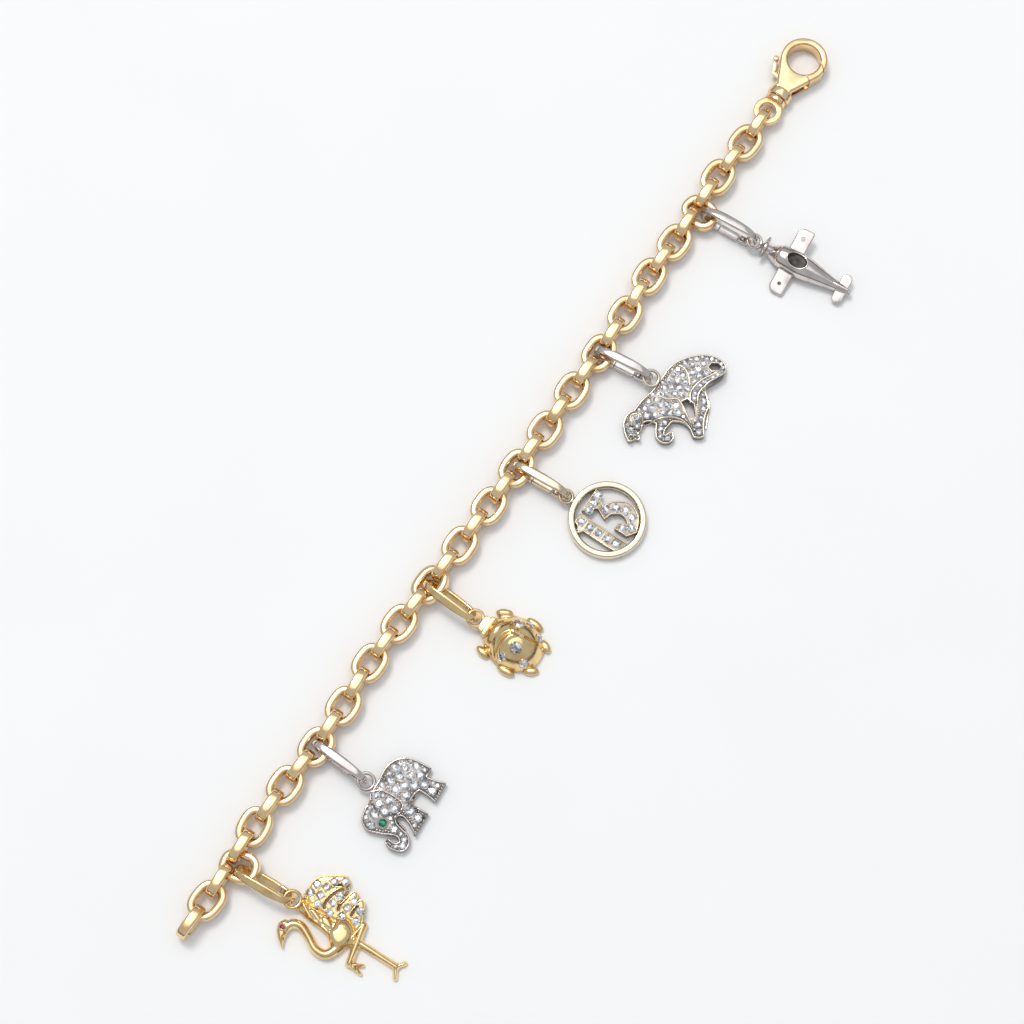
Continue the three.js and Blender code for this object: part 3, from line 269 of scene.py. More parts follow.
def rounded_plate(outline: Callable[[float], list[Point]], half: float, radius: float) -> Mesh:
    """A plate about Z = 0 with a rounded rim, from its outline drawn in by a distance.

    Args:
        outline: gives the outline drawn in by a distance.
        half: half the thickness.
        radius: the rim's radius.

    Returns:
        The closed solid.
    """
    bm = bmesh.new()
    rims, faces = [], []
    for inset, high in rounded_levels(half, radius):
        verts = [bm.verts.new((x, y, high)) for x, y in outline(inset)]
        rims.append([bm.edges.new(pair) for pair in zip(verts, verts[1:] + verts[:1])])
        faces.append(verts)
    for near, far in zip(rims, rims[1:]):
        bmesh.ops.bridge_loops(bm, edges=near + far)
    for verts in (faces[0], faces[-1]):
        bm.faces.new(verts)
    bmesh.ops.recalc_face_normals(bm, faces=bm.faces)
    return bm


def capsule(start: Point, end: Point, radius: float) -> list[Point]:
    """The outline of a bar with round ends.

    Args:
        start: one end's centre.
        end: the other's.
        radius: half the bar's width.

    Returns:
        The outline's corners.
    """
    heading = math.atan2(end[1] - start[1], end[0] - start[0])
    return (arc(end, radius, heading - math.pi / 2, heading + math.pi / 2, CAP_STEPS)
            + arc(start, radius, heading + math.pi / 2, heading + 1.5 * math.pi, CAP_STEPS))


def ribbon(path: Sequence[Point], half: float) -> np.ndarray:
    """The outline of a thin bar along a curve.

    Args:
        path: points that the middle goes through.
        half: half the bar's width.

    Returns:
        The outline's corners.
    """
    points = curve(*path)
    run = np.gradient(points, axis=0)
    side = half * np.stack([-run[:, 1], run[:, 0]], axis=1) / np.linalg.norm(run, axis=1)[:, None]
    return np.vstack([points + side, (points - side)[::-1]])


def lathe(profile: Sequence[Point], steps: int) -> Mesh:
    """A solid of revolution about Z from pairs of radius and height.

    Args:
        profile: the pairs, closed on themselves or on the axis.
        steps: sides of the turn.

    Returns:
        The closed solid.
    """
    bm = bmesh.new()
    verts = [bm.verts.new((r, 0, z)) for r, z in profile]
    edges = [bm.edges.new(pair) for pair in zip(verts, verts[1:])]
    bmesh.ops.spin(bm, geom=[*verts, *edges], cent=(0, 0, 0), axis=(0, 0, 1), angle=2 * math.pi,
                   steps=steps, use_merge=True)
    bmesh.ops.remove_doubles(bm, verts=bm.verts, dist=1e-4)
    bmesh.ops.dissolve_degenerate(bm, edges=bm.edges, dist=1e-4)
    bmesh.ops.recalc_face_normals(bm, faces=bm.faces)
    return bm


def ball(half: Sequence[float], segments: int, rings: int) -> Mesh:
    """An ellipsoid from its three half sizes.

    Args:
        half: the half sizes.
        segments: sides round Z.
        rings: steps from pole to pole.

    Returns:
        The ellipsoid about the origin.
    """
    bm = bmesh.new()
    bmesh.ops.create_uvsphere(bm, u_segments=segments, v_segments=rings, radius=1.0)
    return placed(bm, Matrix.Diagonal((*half, 1.0)))


def kept_from(bm: Mesh, high: float, above: bool) -> Mesh:
    """What lies on one side of a level, closed where it is cut.

    Args:
        bm: the mesh, changed in place.
        high: the level.
        above: whether the upper side is kept.

    Returns:
        The same mesh.
    """
    bmesh.ops.bisect_plane(bm, geom=[*bm.verts, *bm.edges, *bm.faces], plane_co=(0, 0, high),
                           plane_no=(0, 0, 1), clear_inner=above, clear_outer=not above)
    bmesh.ops.holes_fill(bm, edges=[e for e in bm.edges if e.is_boundary])
    return bm


def half_ball(half: Sequence[float], segments: int, rings: int) -> Mesh:
    """The upper half of an ellipsoid, closed just above Z = 0."""
    return kept_from(ball(half, segments, rings), 0.02, True)


def box(size: Sequence[float], *places: Matrix) -> Mesh:
    """A box.

    Args:
        size: its three sizes.
        places: the moves from the origin, the last one done first.

    Returns:
        The closed box.
    """
    bm = bmesh.new()
    bmesh.ops.create_cube(bm, size=1.0)
    return placed(bm, *places, Matrix.Diagonal((*size, 1)))


def rod(radius: float, low: float, high: float, sides: int = 32) -> Mesh:
    """A round bar along Z.

    Args:
        radius: its radius.
        low: its lower end.
        high: its upper end.
        sides: its sides.

    Returns:
        The closed bar.
    """
    bm = bmesh.new()
    bmesh.ops.create_cone(bm, cap_ends=True, segments=sides, radius1=radius, radius2=radius,
                          depth=high - low)
    return placed(bm, Matrix.Translation((0, 0, (low + high) / 2)))


def swept(section: Sequence[Point], stations: Sequence[Matrix], closed: bool) -> Mesh:
    """A bar grown by extruding its section from station to station.

    Args:
        section: the section's corners, as shares of the bar's half sizes.
        stations: each place's frame, whose X and Y columns are the bar's half sizes there.
        closed: whether the last station is the first one again.

    Returns:
        The bar, capped at both ends unless it is closed.
    """
    bm = bmesh.new()
    cap = first = bm.faces.new([bm.verts.new(stations[0] @ Vector((a, b, 0))) for a, b in section])
    for before, after in zip(stations, stations[1:]):
        behind = cap
        grown = bmesh.ops.extrude_face_region(bm, geom=[cap])
        cap = next(item for item in grown["geom"] if isinstance(item, bmesh.types.BMFace))
        bmesh.ops.transform(bm, matrix=after @ before.inverted(), verts=list(cap.verts))
        if closed or behind is not first:
            bmesh.ops.delete(bm, geom=[behind], context="FACES_ONLY")
    if closed:
        bmesh.ops.delete(bm, geom=[cap], context="FACES_ONLY")
        bmesh.ops.remove_doubles(bm, verts=bm.verts, dist=1e-3)
    bmesh.ops.recalc_face_normals(bm, faces=bm.faces)
    return bm


def station(centre: Sequence[float], across: Sequence[float], up: Sequence[float]) -> Matrix:
    """A sweep's frame from its section's centre and its half width and half height as vectors."""
    a, b = Vector(across), Vector(up)
    return Matrix.Translation(centre) @ Matrix((a, b, a.cross(b).normalized())).transposed().to_4x4()


def wire(path: Sequence[Sequence[float]], radius: float, closed: bool = False, sides: int = 8) -> Mesh:
    """A round wire along a path of points in space.

    Args:
        path: the middle's points.
        radius: the wire's radius.
        closed: whether its end meets its start.
        sides: sides of its section.

    Returns:
        The wire.
    """
    points = [Vector(p) for p in path]
    stations = []
    for i, point in enumerate(points):
        before = points[i - 1] if i or closed else point
        after = points[(i + 1) % len(points)] if i + 1 < len(points) or closed else point
        heading = (after - before).normalized()
        across = heading.cross(Vector((0, 0, 1))).normalized()
        stations.append(station(point, across * radius, across.cross(heading) * -radius))
    return swept(round_section(sides), [*stations, stations[0]] if closed else stations, closed)


def shown(bm: Mesh, name: str = "passing") -> bpy.types.Object:
    """A new object in the scene holding the mesh, which is used up.

    Args:
        bm: the mesh, which is freed.
        name: the object's name; it stays so where a modifier is only to work on it.

    Returns:
        The object.
    """
    data = bpy.data.meshes.new(name)
    bm.to_mesh(data)
    bm.free()
    obj = bpy.data.objects.new(name, data)
    bpy.context.scene.collection.objects.link(obj)
    return obj


def evaluated(obj: bpy.types.Object, *others: bpy.types.Object) -> Mesh:
    """The object's mesh with its modifiers applied; the passing objects are removed.

    Args:
        obj: the object to read.
        others: objects its modifiers needed.

    Returns:
        Its final mesh.
    """
    graph = bpy.context.evaluated_depsgraph_get()
    bm = bmesh.new()
    bm.from_mesh(obj.evaluated_get(graph).to_mesh())
    for done in (obj, *others):
        data = done.data
        bpy.data.objects.remove(done)
        bpy.data.meshes.remove(data)
    return bm


def cut(bm: Mesh, tool: Mesh, operation: str = "DIFFERENCE") -> Mesh:
    """The mesh with the tool's solid taken from it, or kept in common with it.

    Args:
        bm: the mesh, which is freed.
        tool: the other solid, freed too.
        operation: the Boolean modifier's own name for what is done.

    Returns:
        What is left.
    """
    obj, other = shown(bm), shown(tool)
    modifier = obj.modifiers.new("cut", "BOOLEAN")
    modifier.operation, modifier.object, modifier.solver = operation, other, "EXACT"
    return evaluated(obj, other)


def recast(bm: Mesh, voxel: float, rounds: int) -> Mesh:
    """The mesh's parts melted into one skin of even faces, then smoothed a few rounds.

    Args:
        bm: the parts, which are freed.
        voxel: the faces' size.
        rounds: rounds of smoothing.

    Returns:
        The skin.
    """
    obj = shown(bm)
    modifier = obj.modifiers.new("skin", "REMESH")
    modifier.mode, modifier.voxel_size = "VOXEL", voxel
    skin = evaluated(obj)
    relax(skin, rounds)
    return skin


def relax(bm: Mesh, rounds: int) -> None:
    """Draws every point towards the middle of its neighbours.

    Args:
        bm: the mesh, changed in place.
        rounds: how many times that is done.
    """
    for _ in range(rounds):
        bmesh.ops.smooth_vert(bm, verts=bm.verts, factor=0.5,
                              use_axis_x=True, use_axis_y=True, use_axis_z=True)


# Relief. A charm cast flat on its back, whose front is a height over its outline.


@dataclass(frozen=True)
class Pillow:
    """Part of a cast form inside an outline, which rises from its edge to its middle."""

    loop: np.ndarray
    base: float
    top: float
    edge: float

    def loops(self) -> list[np.ndarray]:
        """The outlines this part covers."""
        return [self.loop]

    def height(self, xy: np.ndarray) -> np.ndarray:
        """The front's height at each point, or nothing outside the outline.

        Args:
            xy: the points, one per row.

        Returns:
            The heights.
        """
        room = room_inside(xy, self.loop)
        rise = np.sqrt(1 - (1 - np.clip(room / self.edge, 0, 1)) ** 2)
        return np.where(room > -0.1, self.base + (self.top - self.base) * rise, 0)


@dataclass(frozen=True)
class Tube:
    """Part of a cast form along a path, round on its front, whose half width can change."""

    path: np.ndarray
    halves: tuple[float, ...]
    base: float
    top: float

    def half_at(self, place: np.ndarray) -> np.ndarray:
        """The half width at each place along the path."""
        return np.interp(place, np.linspace(0, len(self.path) - 1, len(self.halves)), self.halves)

    def loops(self) -> list[np.ndarray]:
        """The outlines this part covers: one bar with round ends for each span.

        Returns:
            The bars' outlines.
        """
        halves = self.half_at(np.arange(len(self.path)))
        return [np.array(capsule(tuple(a), tuple(b), (ra + rb) / 2))
                for a, b, ra, rb in zip(self.path, self.path[1:], halves, halves[1:])]

    def height(self, xy: np.ndarray) -> np.ndarray:
        """The front's height at each point, or nothing away from the path.

        Args:
            xy: the points, one per row.

        Returns:
            The heights.
        """
        away, place = along_path(xy, self.path)
        half = self.half_at(place)
        rise = np.sqrt(1 - np.clip(away / half, 0, 1) ** 2)
        return np.where(away < half + 0.1, self.base + (self.top - self.base) * rise, 0)


@dataclass(frozen=True)
class Bead:
    """A thin ridge along a path on a cast form, or a groove where its rise is negative."""

    path: np.ndarray
    half: float
    rise: float

    def change(self, xy: np.ndarray) -> np.ndarray:
        """How much this adds to the front's height at each point."""
        away, _ = along_path(xy, self.path)
        return self.rise * (1 + np.cos(math.pi * np.clip(away / self.half, 0, 1))) / 2


@dataclass
class Cast:
    """A charm's cast body from its parts and the lines on its front."""

    parts: list[Pillow | Tube]
    lines: list[Bead]
    holes: list[np.ndarray] = field(default_factory=list)
    voxel: float = 0.12
    rounds: int = 1

    def height(self, xy: np.ndarray) -> np.ndarray:
        """The front's height at each point."""
        high = np.max([part.height(xy) for part in self.parts], axis=0)
        return np.maximum(high, 0.35) + sum(line.change(xy) for line in self.lines)

    def build(self) -> Mesh:
        """The body as one skin, flat behind and shaped in front.

        Returns:
            The closed body.
        """
        full = max(part.top for part in self.parts)
        loops = [loop for part in self.parts for loop in part.loops()]
        bm = joined(slab(loop, 0, full) for loop in loops)
        bm = recast(bm, self.voxel, 0)
        for hole in self.holes:
            bm = cut(bm, slab(hole, -full, 2 * full))
        if self.holes:
            bm = recast(bm, self.voxel, 0)
        relax(bm, 3)
        verts = list(bm.verts)
        high = self.height(np.array([v.co.xy for v in verts]))
        for vert, top in zip(verts, high):
            vert.co.z *= top / full
        relax(bm, self.rounds)
        return bm


# Stones

# Shares of the stone's radius: its table, the ring where kites meet stars, its crown's height
BRILLIANT_TABLE = 0.5
BRILLIANT_BREAK = 0.8
BRILLIANT_CROWN = 0.3

# How far girdles stand off the front, and how each stone is turned and tipped, in radians
STONE_LIFT = 0.02
STONE_TURN = 2.4
STONE_TIP = 0.12

# The room that a stone claims, as a share of its width
STONE_CLAIM = 0.52

# How far apart places are tried for a stone, the least distance from an edge that is looked at, and
# what an edge, a hole and a ridge are kept clear by
STONE_STEP = 0.12
LEAST_ROOM = 0.3
EDGE_ROOM = 0.26
HOLE_ROOM = 0.1
RIDGE_ROOM = 0.16
Laid = tuple[np.ndarray, float]


def brilliant(across: float) -> Mesh:
    """A round stone cut with a table, eight stars, eight kites and sixteen girdle facets, girdle at zero.

    Args:
        across: the stone's width.

    Returns:
        The stone, its crown along Z.
    """
    radius = across / 2
    crown = BRILLIANT_CROWN * radius
    bm = bmesh.new()

    def row(share: float, high: float, count: int, offset: float) -> list[bmesh.types.BMVert]:
        """Points evenly round the stone, at a share of its radius and a height."""
        return [bm.verts.new(spot) for spot in circle((0, 0), share * radius, high, count, offset)]

    table = row(BRILLIANT_TABLE, crown, 8, 0)
    middle = row(BRILLIANT_BREAK, 0.55 * crown, 8, 0.5)
    girdle = row(1.0, 0.0, 16, 0)
    foot = row(0.98, -0.1 * radius, 16, 0)
    culet = bm.verts.new((0, 0, -0.8 * radius))
    bm.faces.new(table)
    for i in range(8):
        k, g = (i + 1) % 8, 2 * i
        bm.faces.new((table[i], middle[i], table[k]))
        bm.faces.new((table[i], middle[i - 1], girdle[g], middle[i]))
        bm.faces.new((middle[i], girdle[g], girdle[g + 1]))
        bm.faces.new((middle[i], girdle[g + 1], girdle[(g + 2) % 16]))
    for i in range(16):
        k = (i + 1) % 16
        bm.faces.new((girdle[i], foot[i], foot[k], girdle[k]))
        bm.faces.new((foot[i], culet, foot[k]))
    bmesh.ops.recalc_face_normals(bm, faces=bm.faces)
    return bm


def open_places(cast: Cast, lines: Sequence[np.ndarray], angle: float) -> tuple[np.ndarray, np.ndarray]:
    """Places over a cast's first part, in slanted rows, and how much room each has.

    Args:
        cast: the cast, whose edges and holes are kept clear.
        lines: paths of ridges that are kept clear too.
        angle: the rows' slant in radians.

    Returns:
        The places, and each one's distance from the nearest edge or ridge.
    """
    loop = cast.parts[0].loop
    low, high = loop.min(axis=0), loop.max(axis=0)
    across_all = np.linalg.norm(high - low)
    steps = np.arange(-1, 1, STONE_STEP / (across_all / 2)) * across_all / 2
    down, across = np.meshgrid(steps, steps, indexing="ij")
    turn = np.array([[math.cos(angle), math.sin(angle)], [-math.sin(angle), math.cos(angle)]])
    spots = np.stack([across.ravel(), down.ravel()], axis=1) @ turn + (low + high) / 2
    room = room_inside(spots, loop)
    for hole in cast.holes:
        room = np.minimum(room, -room_inside(spots, hole) - HOLE_ROOM)
    wide_enough = room > LEAST_ROOM
    spots, room = spots[wide_enough], room[wide_enough] - EDGE_ROOM
    for line in lines:
        room = np.minimum(room, along_path(spots, line)[0] - RIDGE_ROOM)
    return spots, room


def packed(spots: np.ndarray, room: np.ndarray, sizes: Sequence[float],
           first: Sequence[Laid]) -> list[Laid]:
    """Round stones of falling size laid side by side wherever there is room.

    Args:
        spots: the places a centre may have.
        room: how much room each of them has.
        sizes: the widths, the largest first.
        first: what is already laid there.

    Returns:
        Each stone's centre and width, without the ones already laid.
    """
    laid: list[Laid] = []

    def taken(centre: np.ndarray, size: float) -> np.ndarray:
        """The room that a stone leaves to every place."""
        return np.linalg.norm(spots - centre, axis=1) - STONE_CLAIM * size

    for centre, size in first:
        room = np.minimum(room, taken(centre, size))
    for size in sizes:
        for i, spot in enumerate(spots):
            if room[i] >= size / 2:
                laid.append((spot, size))
                room = np.minimum(room, taken(spot, size))
    return laid


def stones_on(cast: Cast, laid: Sequence[Laid]) -> Mesh:
    """A cut stone on the cast's front at every place, each turned and tipped a little from the last.

    Args:
        cast: what they are set in.
        laid: each stone's centre and width.

    Returns:
        The stones.
    """
    highs = cast.height(np.array([centre for centre, _ in laid]))
    return copies(brilliant(1.0), [
        Matrix.Translation((x, y, z + STONE_LIFT)) @ Matrix.Rotation(STONE_TURN * i, 4, "Z")
        @ Matrix.Rotation(STONE_TIP * math.sin(1.7 * i), 4, "X") @ Matrix.Scale(size, 4)
        for i, (((x, y), size), z) in enumerate(zip(laid, highs))])


def grains_on(cast: Cast, laid: Sequence[Laid]) -> Mesh:
    """Small round grains of metal on the cast's front.

    Args:
        cast: what they stand on.
        laid: each grain's centre and width.

    Returns:
        The grains.
    """
    highs = cast.height(np.array([centre for centre, _ in laid]))
    return copies(ball((0.5, 0.5, 0.5), 10, 6), [
        Matrix.Translation((x, y, z + 0.12 * size)) @ Matrix.Scale(size, 4)
        for ((x, y), size), z in zip(laid, highs)])


def round_each(spots: np.ndarray, highs: Iterable[float], reach: float, turn: float) -> list[Matrix]:
    """Four places round every stone, at a reach and a turn in radians, for the grains that hold it."""
    return [Matrix.Translation((x + reach * math.cos(t), y + reach * math.sin(t), z))
            for (x, y), z in zip(spots, highs) for t in np.arange(4) * math.pi / 2 + turn]


def along(path: Sequence[Point], pitch: float) -> np.ndarray:
    """Places evenly spaced along a smooth path through the given points.

    Args:
        path: the points.
        pitch: the distance from place to place.

    Returns:
        The places.
    """
    points = curve(*path)
    lengths = np.concatenate([[0], np.cumsum(np.linalg.norm(np.diff(points, axis=0), axis=1))])
    stops = np.arange(pitch / 2, lengths[-1], pitch)
    return np.stack([np.interp(stops, lengths, points[:, k]) for k in (0, 1)], axis=1)


def drawn_in(loop: np.ndarray, by: float) -> np.ndarray:
    """A closed loop moved inwards by a distance and closed with its first point.

    Args:
        loop: the loop's points.
        by: the distance; below zero it grows.

    Returns:
        The new loop's points.
    """
    run = np.roll(loop, -1, axis=0) - np.roll(loop, 1, axis=0)
    side = np.stack([-run[:, 1], run[:, 0]], axis=1) / np.linalg.norm(run, axis=1)[:, None]
    inward = side * by * np.sign(np.sum(room_inside(loop + 0.2 * side, loop)))
    moved = loop + inward
    return np.vstack([moved, moved[:1]])


def ridges_on(cast: Cast, paths: Iterable[np.ndarray], radius: float, sink: float) -> Mesh:
    """Thin round ridges lying along paths on the cast's front."""
    runs = ([(x, y, z - sink) for (x, y), z in zip(path, cast.height(path))] for path in paths)
    return joined(wire(run, radius, sides=10) for run in runs)


# Finishes

Colour = tuple[float, float, float]
Value = float | str | tuple[float, ...] | bpy.types.NodeTree


class Nodes:
    """A node tree in the making."""

    def __init__(self, tree: bpy.types.NodeTree) -> None:
        """Takes hold of the tree."""
        self.tree = tree

    def add(self, kind: str, **values: Value) -> bpy.types.Node:
        """A new node of a kind, set as fill() sets it."""
        return self.fill(self.tree.nodes.new(f"ShaderNode{kind}"), **values)

    def fill(self, node: bpy.types.Node, **values: Value) -> bpy.types.Node:
        """Sets a node's own properties and its inputs by name.

        Args:
            node: the node.
            values: the values, with _ for a space in an input's name.

        Returns:
            The same node.
        """
        for name, value in values.items():
            if hasattr(node, name):
                setattr(node, name, value)
            else:
                node.inputs[name.replace("_", " ")].default_value = value
        return node

    def blend(self, one: Colour, other: Colour) -> bpy.types.Node:
        """A mix of two colours."""
        return self.add("Mix", data_type="RGBA", A=(*one, 1.0), B=(*other, 1.0))

    def link(self, start: bpy.types.Node, output: str, end: bpy.types.Node, entry: str) -> None:
        """Leads one node's output into another's input."""
        self.tree.links.new(start.outputs[output], end.inputs[entry])


def started(name: str, **values: Value) -> tuple[bpy.types.Material, Nodes, bpy.types.Node]:
    """A new node material.

    Args:
        name: its name.
        values: what its shader's inputs are set to.

    Returns:
        The material, its nodes and its shader.
    """
    made = bpy.data.materials.new(name)
    made.use_nodes = True
    nodes = Nodes(made.node_tree)
    return made, nodes, nodes.fill(made.node_tree.nodes["Principled BSDF"], **values)


def wear_group() -> bpy.types.NodeTree:
    """Fine polishing marks: a mask for how dull a place is, and the surface's small unevenness.

    Returns:
        The node group.
    """
    tree = bpy.data.node_groups.new("polish_wear", "ShaderNodeTree")
    tree.interface.new_socket("Mask", in_out="OUTPUT", socket_type="NodeSocketFloat")
    tree.interface.new_socket("Normal", in_out="OUTPUT", socket_type="NodeSocketVector")
    nodes = Nodes(tree)
    out = tree.nodes.new("NodeGroupOutput")
    place = nodes.add("TexCoord")
    cloud = nodes.add("TexNoise", Scale=420.0, Detail=4.0)
    spread = nodes.add("MapRange", From_Min=0.42, From_Max=0.68)
    lines = nodes.add("Mapping", Scale=(900.0, 5200.0, 2600.0))
    fine = nodes.add("TexNoise", Scale=1.0, Detail=2.0)
    bump = nodes.add("Bump", Strength=0.07, Distance=0.00002)
    nodes.link(place, "Object", cloud, "Vector")
    nodes.link(place, "Object", lines, "Vector")
    nodes.link(lines, "Vector", fine, "Vector")
    nodes.link(cloud, "Fac", spread, "Value")
    nodes.link(fine, "Fac", bump, "Height")
    nodes.link(spread, "Result", out, "Mask")
    nodes.link(bump, "Normal", out, "Normal")
    return tree


WEAR = wear_group()


@dataclass(frozen=True)
class Metal:
    """Polished gold of one colour, a little duller and deeper where it has been handled."""

    name: str
    slot: Slot
    colour: Colour
    worn: Colour
    roughness: float

    def material(self) -> bpy.types.Material:
        """The finish as a node material, made once.

        Returns:
            The material.
        """
        if self.name in bpy.data.materials:
            return bpy.data.materials[self.name]
        made, nodes, shader = started(self.name, Metallic=1.0)
        wear = nodes.add("Group", node_tree=WEAR)
        tint = nodes.blend(self.colour, self.worn)
        dull = nodes.add("MapRange", To_Min=self.roughness, To_Max=1.8 * self.roughness)
        nodes.link(wear, "Mask", tint, "Factor")
        nodes.link(wear, "Mask", dull, "Value")
        nodes.link(tint, "Result", shader, "Base Color")
        nodes.link(dull, "Result", shader, "Roughness")
        nodes.link(wear, "Normal", shader, "Normal")
        return made


@dataclass(frozen=True)
class Gem:
    """A cut stone: clear or coloured, its colour painted brighter and darker in small cells, as the
    glints and dark reflections of its facets.
    """

    name: str
    slot: Slot
    colour: Colour
    # The dark tone, painted into some cells as the facets' shade and dark reflections
    deep: Colour
    metallic: float
    bending: float

    def material(self) -> bpy.types.Material:
        """The finish as a node material, made once.

        Returns:
            The material.
        """
        if self.name in bpy.data.materials:
            return bpy.data.materials[self.name]
        made, nodes, shader = started(self.name, Metallic=self.metallic, Roughness=0.03,
                                      IOR=self.bending)
        place = nodes.add("TexCoord")
        # Small cells of the light and the dark colour: painted glints and painted dark reflections over
        # the facets.
        facet_glint_cells = nodes.add("TexVoronoi", Scale=2600.0)
        spread = nodes.add("MapRange", From_Min=0.33, From_Max=0.6)
        tint = nodes.blend(self.deep, self.colour)
        nodes.link(place, "Object", facet_glint_cells, "Vector")
        nodes.link(facet_glint_cells, "Color", spread, "Value")
        nodes.link(spread, "Result", tint, "Factor")
        nodes.link(tint, "Result", shader, "Base Color")
        return made


YELLOW = Metal("yellow_gold_polished", Slot.YELLOW, (0.96, 0.71, 0.42), (0.84, 0.57, 0.30), 0.15)
DEEP = Metal("yellow_gold_charms", Slot.YELLOW, (0.90, 0.67, 0.35), (0.72, 0.50, 0.24), 0.13)
WHITE = Metal("white_gold_polished", Slot.WHITE, (0.71, 0.65, 0.62), (0.54, 0.48, 0.46), 0.13)
# A much darker copy of the white gold, for the metal between the stones: painted shade.
SHADE_PAINTED_SEAT = Metal("white_gold_between_stones", Slot.WHITE, (0.34, 0.30, 0.27), (0.20, 0.18, 0.16), 0.35)
# A near-black copy of the white gold that lines the plane's cockpit: a painted shadow.
SHADE_PAINTED_HOLLOW = Metal("white_gold_hollow", Slot.WHITE, (0.10, 0.09, 0.085), (0.05, 0.045, 0.04), 0.45)
# A darker copy of the pale gold, for the floors of the medal's numerals: painted shade.
PALE_SHADE_PAINTED_SEAT = Metal("pale_gold_between_stones", Slot.PALE, (0.40, 0.35, 0.28), (0.24, 0.21, 0.17), 0.32)
# A lighter, warmer copy of the white gold for the cat's raised grains and lines: a painted highlight.
HIGHLIGHT_PAINTED_GRAIN = Metal("white_gold_grains", Slot.WHITE, (0.84, 0.76, 0.64), (0.66, 0.58, 0.48), 0.18)
PALE = Metal("pale_gold_polished", Slot.PALE, (0.80, 0.68, 0.52), (0.62, 0.51, 0.38), 0.14)
# Each stone's light and deep colours are mixed in small cells: painted glints and painted dark
# reflections.
DIAMOND = Gem("diamond_cut", Slot.DIAMOND, (0.98, 0.98, 1.0), (0.30, 0.31, 0.34), 0.7, 2.4)
EMERALD = Gem("emerald_cut", Slot.EMERALD, (0.02, 0.34, 0.18), (0.005, 0.10, 0.06), 0.25, 1.58)
RUBY = Gem("ruby_cut", Slot.RUBY, (0.42, 0.03, 0.16), (0.14, 0.01, 0.06), 0.25, 1.77)


# Metal looks sharp where two faces meet at more than this angle, and smooth elsewhere
CREASE = math.radians(38)


@dataclass
class Piece:
    """One mesh of the object: what it stands for, what it rides on and what it wears."""

    name: str
    finish: Metal | Gem
    nodes: tuple[str, ...] = ()
    body: str = "bracelet"

    def show(self, bm: Mesh, place: Matrix) -> None:
        """Turns the mesh into a finished object in the row frame.

        Args:
            bm: the mesh in millimetres, which is used up.
            place: where it goes, in millimetres in the row frame.
        """
        bm.transform(Matrix.Scale(METRES, 4) @ place)
        bmesh.ops.remove_doubles(bm, verts=bm.verts, dist=1e-7)
        bmesh.ops.recalc_face_normals(bm, faces=bm.faces)
        obj = shown(bm, self.name)
        data = obj.data
        flat = isinstance(self.finish, Gem)
        data.polygons.foreach_set("use_smooth", [not flat] * len(data.polygons))
        if not flat:
            data.set_sharp_from_angle(angle=CREASE)
        data.materials.append(self.finish.material())
        if self.nodes:
            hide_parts(*self.nodes)
        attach(obj, self.body)
        LOG.info("%s: %d faces", self.name, len(data.polygons))


# Chain

# Upper halves of sections, as shares of the bar's half sizes
WIRE_SECTION = [(1.0, 0.0), (0.985, 0.55), (0.9, 0.78), (0.68, 0.92), (0.2, 0.99), (-0.3, 0.95),
                (-0.68, 0.7), (-0.9, 0.38), (-0.98, 0.0)]
ROUND_SECTION = [(1.0, 0.0), (0.99, 0.42), (0.93, 0.7), (0.78, 0.88), (0.42, 0.98), (-0.15, 1.0),
                 (-0.62, 0.94), (-0.92, 0.7), (-1.08, 0.36), (-1.12, 0.0)]
BAND_SECTION = [(1.0, 0.0), (0.99, 0.5), (0.9, 0.76), (0.62, 0.92), (0.1, 1.0), (-0.5, 0.92),
                (-0.9, 0.74), (-1.0, 0.5)]


def mirrored(section: Sequence[Point]) -> list[Point]:
    """The whole section from its upper half."""
    return [*section, *[(a, -b) for a, b in reversed(section) if b > 0]]


def oval_stop(half_long: float, half_wide: float, squareness: float,
              turn: float) -> tuple[Vector, Vector]:
    """A place on a squared oval in the XY plane, and its outward direction.

    Args:
        half_long: half the oval's length.
        half_wide: half its width.
        squareness: 2 for an ellipse, more for a squarer one.
        turn: the place as an angle round the oval, in radians.

    Returns:
        The place and the direction.
    """
    power = 2 / squareness
    x = math.copysign(abs(math.cos(turn)) ** power, math.cos(turn))
    y = math.copysign(abs(math.sin(turn)) ** power, math.sin(turn))
    out = Vector((math.copysign(abs(x) ** (squareness - 1), x) / half_long,
                  math.copysign(abs(y) ** (squareness - 1), y) / half_wide, 0)).normalized()
    return Vector((x * half_long, y * half_wide, 0)), out


@dataclass(frozen=True)
class FlatLink:
    """A link that lies flat: its step, side offset and hang as shares, its turn and tip in degrees."""

    step: float
    side: float
    turn: float
    tip: float = 0.0
    hang: float = 0.0


ROUTE = [FlatLink(*row) for row in (
    (0, -0.07, -4), (0.83, 0.02, -74, 8, 0.25), (0.84, 0.08, 6), (0.998, 0.05, 0), (0.962, -0.04, 0),
    (0.962, 0.01, 2), (0.998, 0.13, 0), (0.974, 0.1, -2), (0.998, 0.02, -2, 14), (0.998, -0.02, 0),
    (0.998, -0.04, 0), (0.962, -0.06, 0), (0.985, -0.08, 0), (0.998, -0.05, 0), (0.975, -0.06, 1),
    (0.985, -0.01, 2), (0.962, 0.08, 2), (0.914, 0.06, -1), (0.87, 0.12, -100, 5, 0.15),
    (0.835, 0.15, 0), (0.965, 0.08, -3))]

# A flat link turned by more than this many degrees lies across the chain
ACROSS_FROM = 45

# Sections round one link
LINK_STEPS = 52


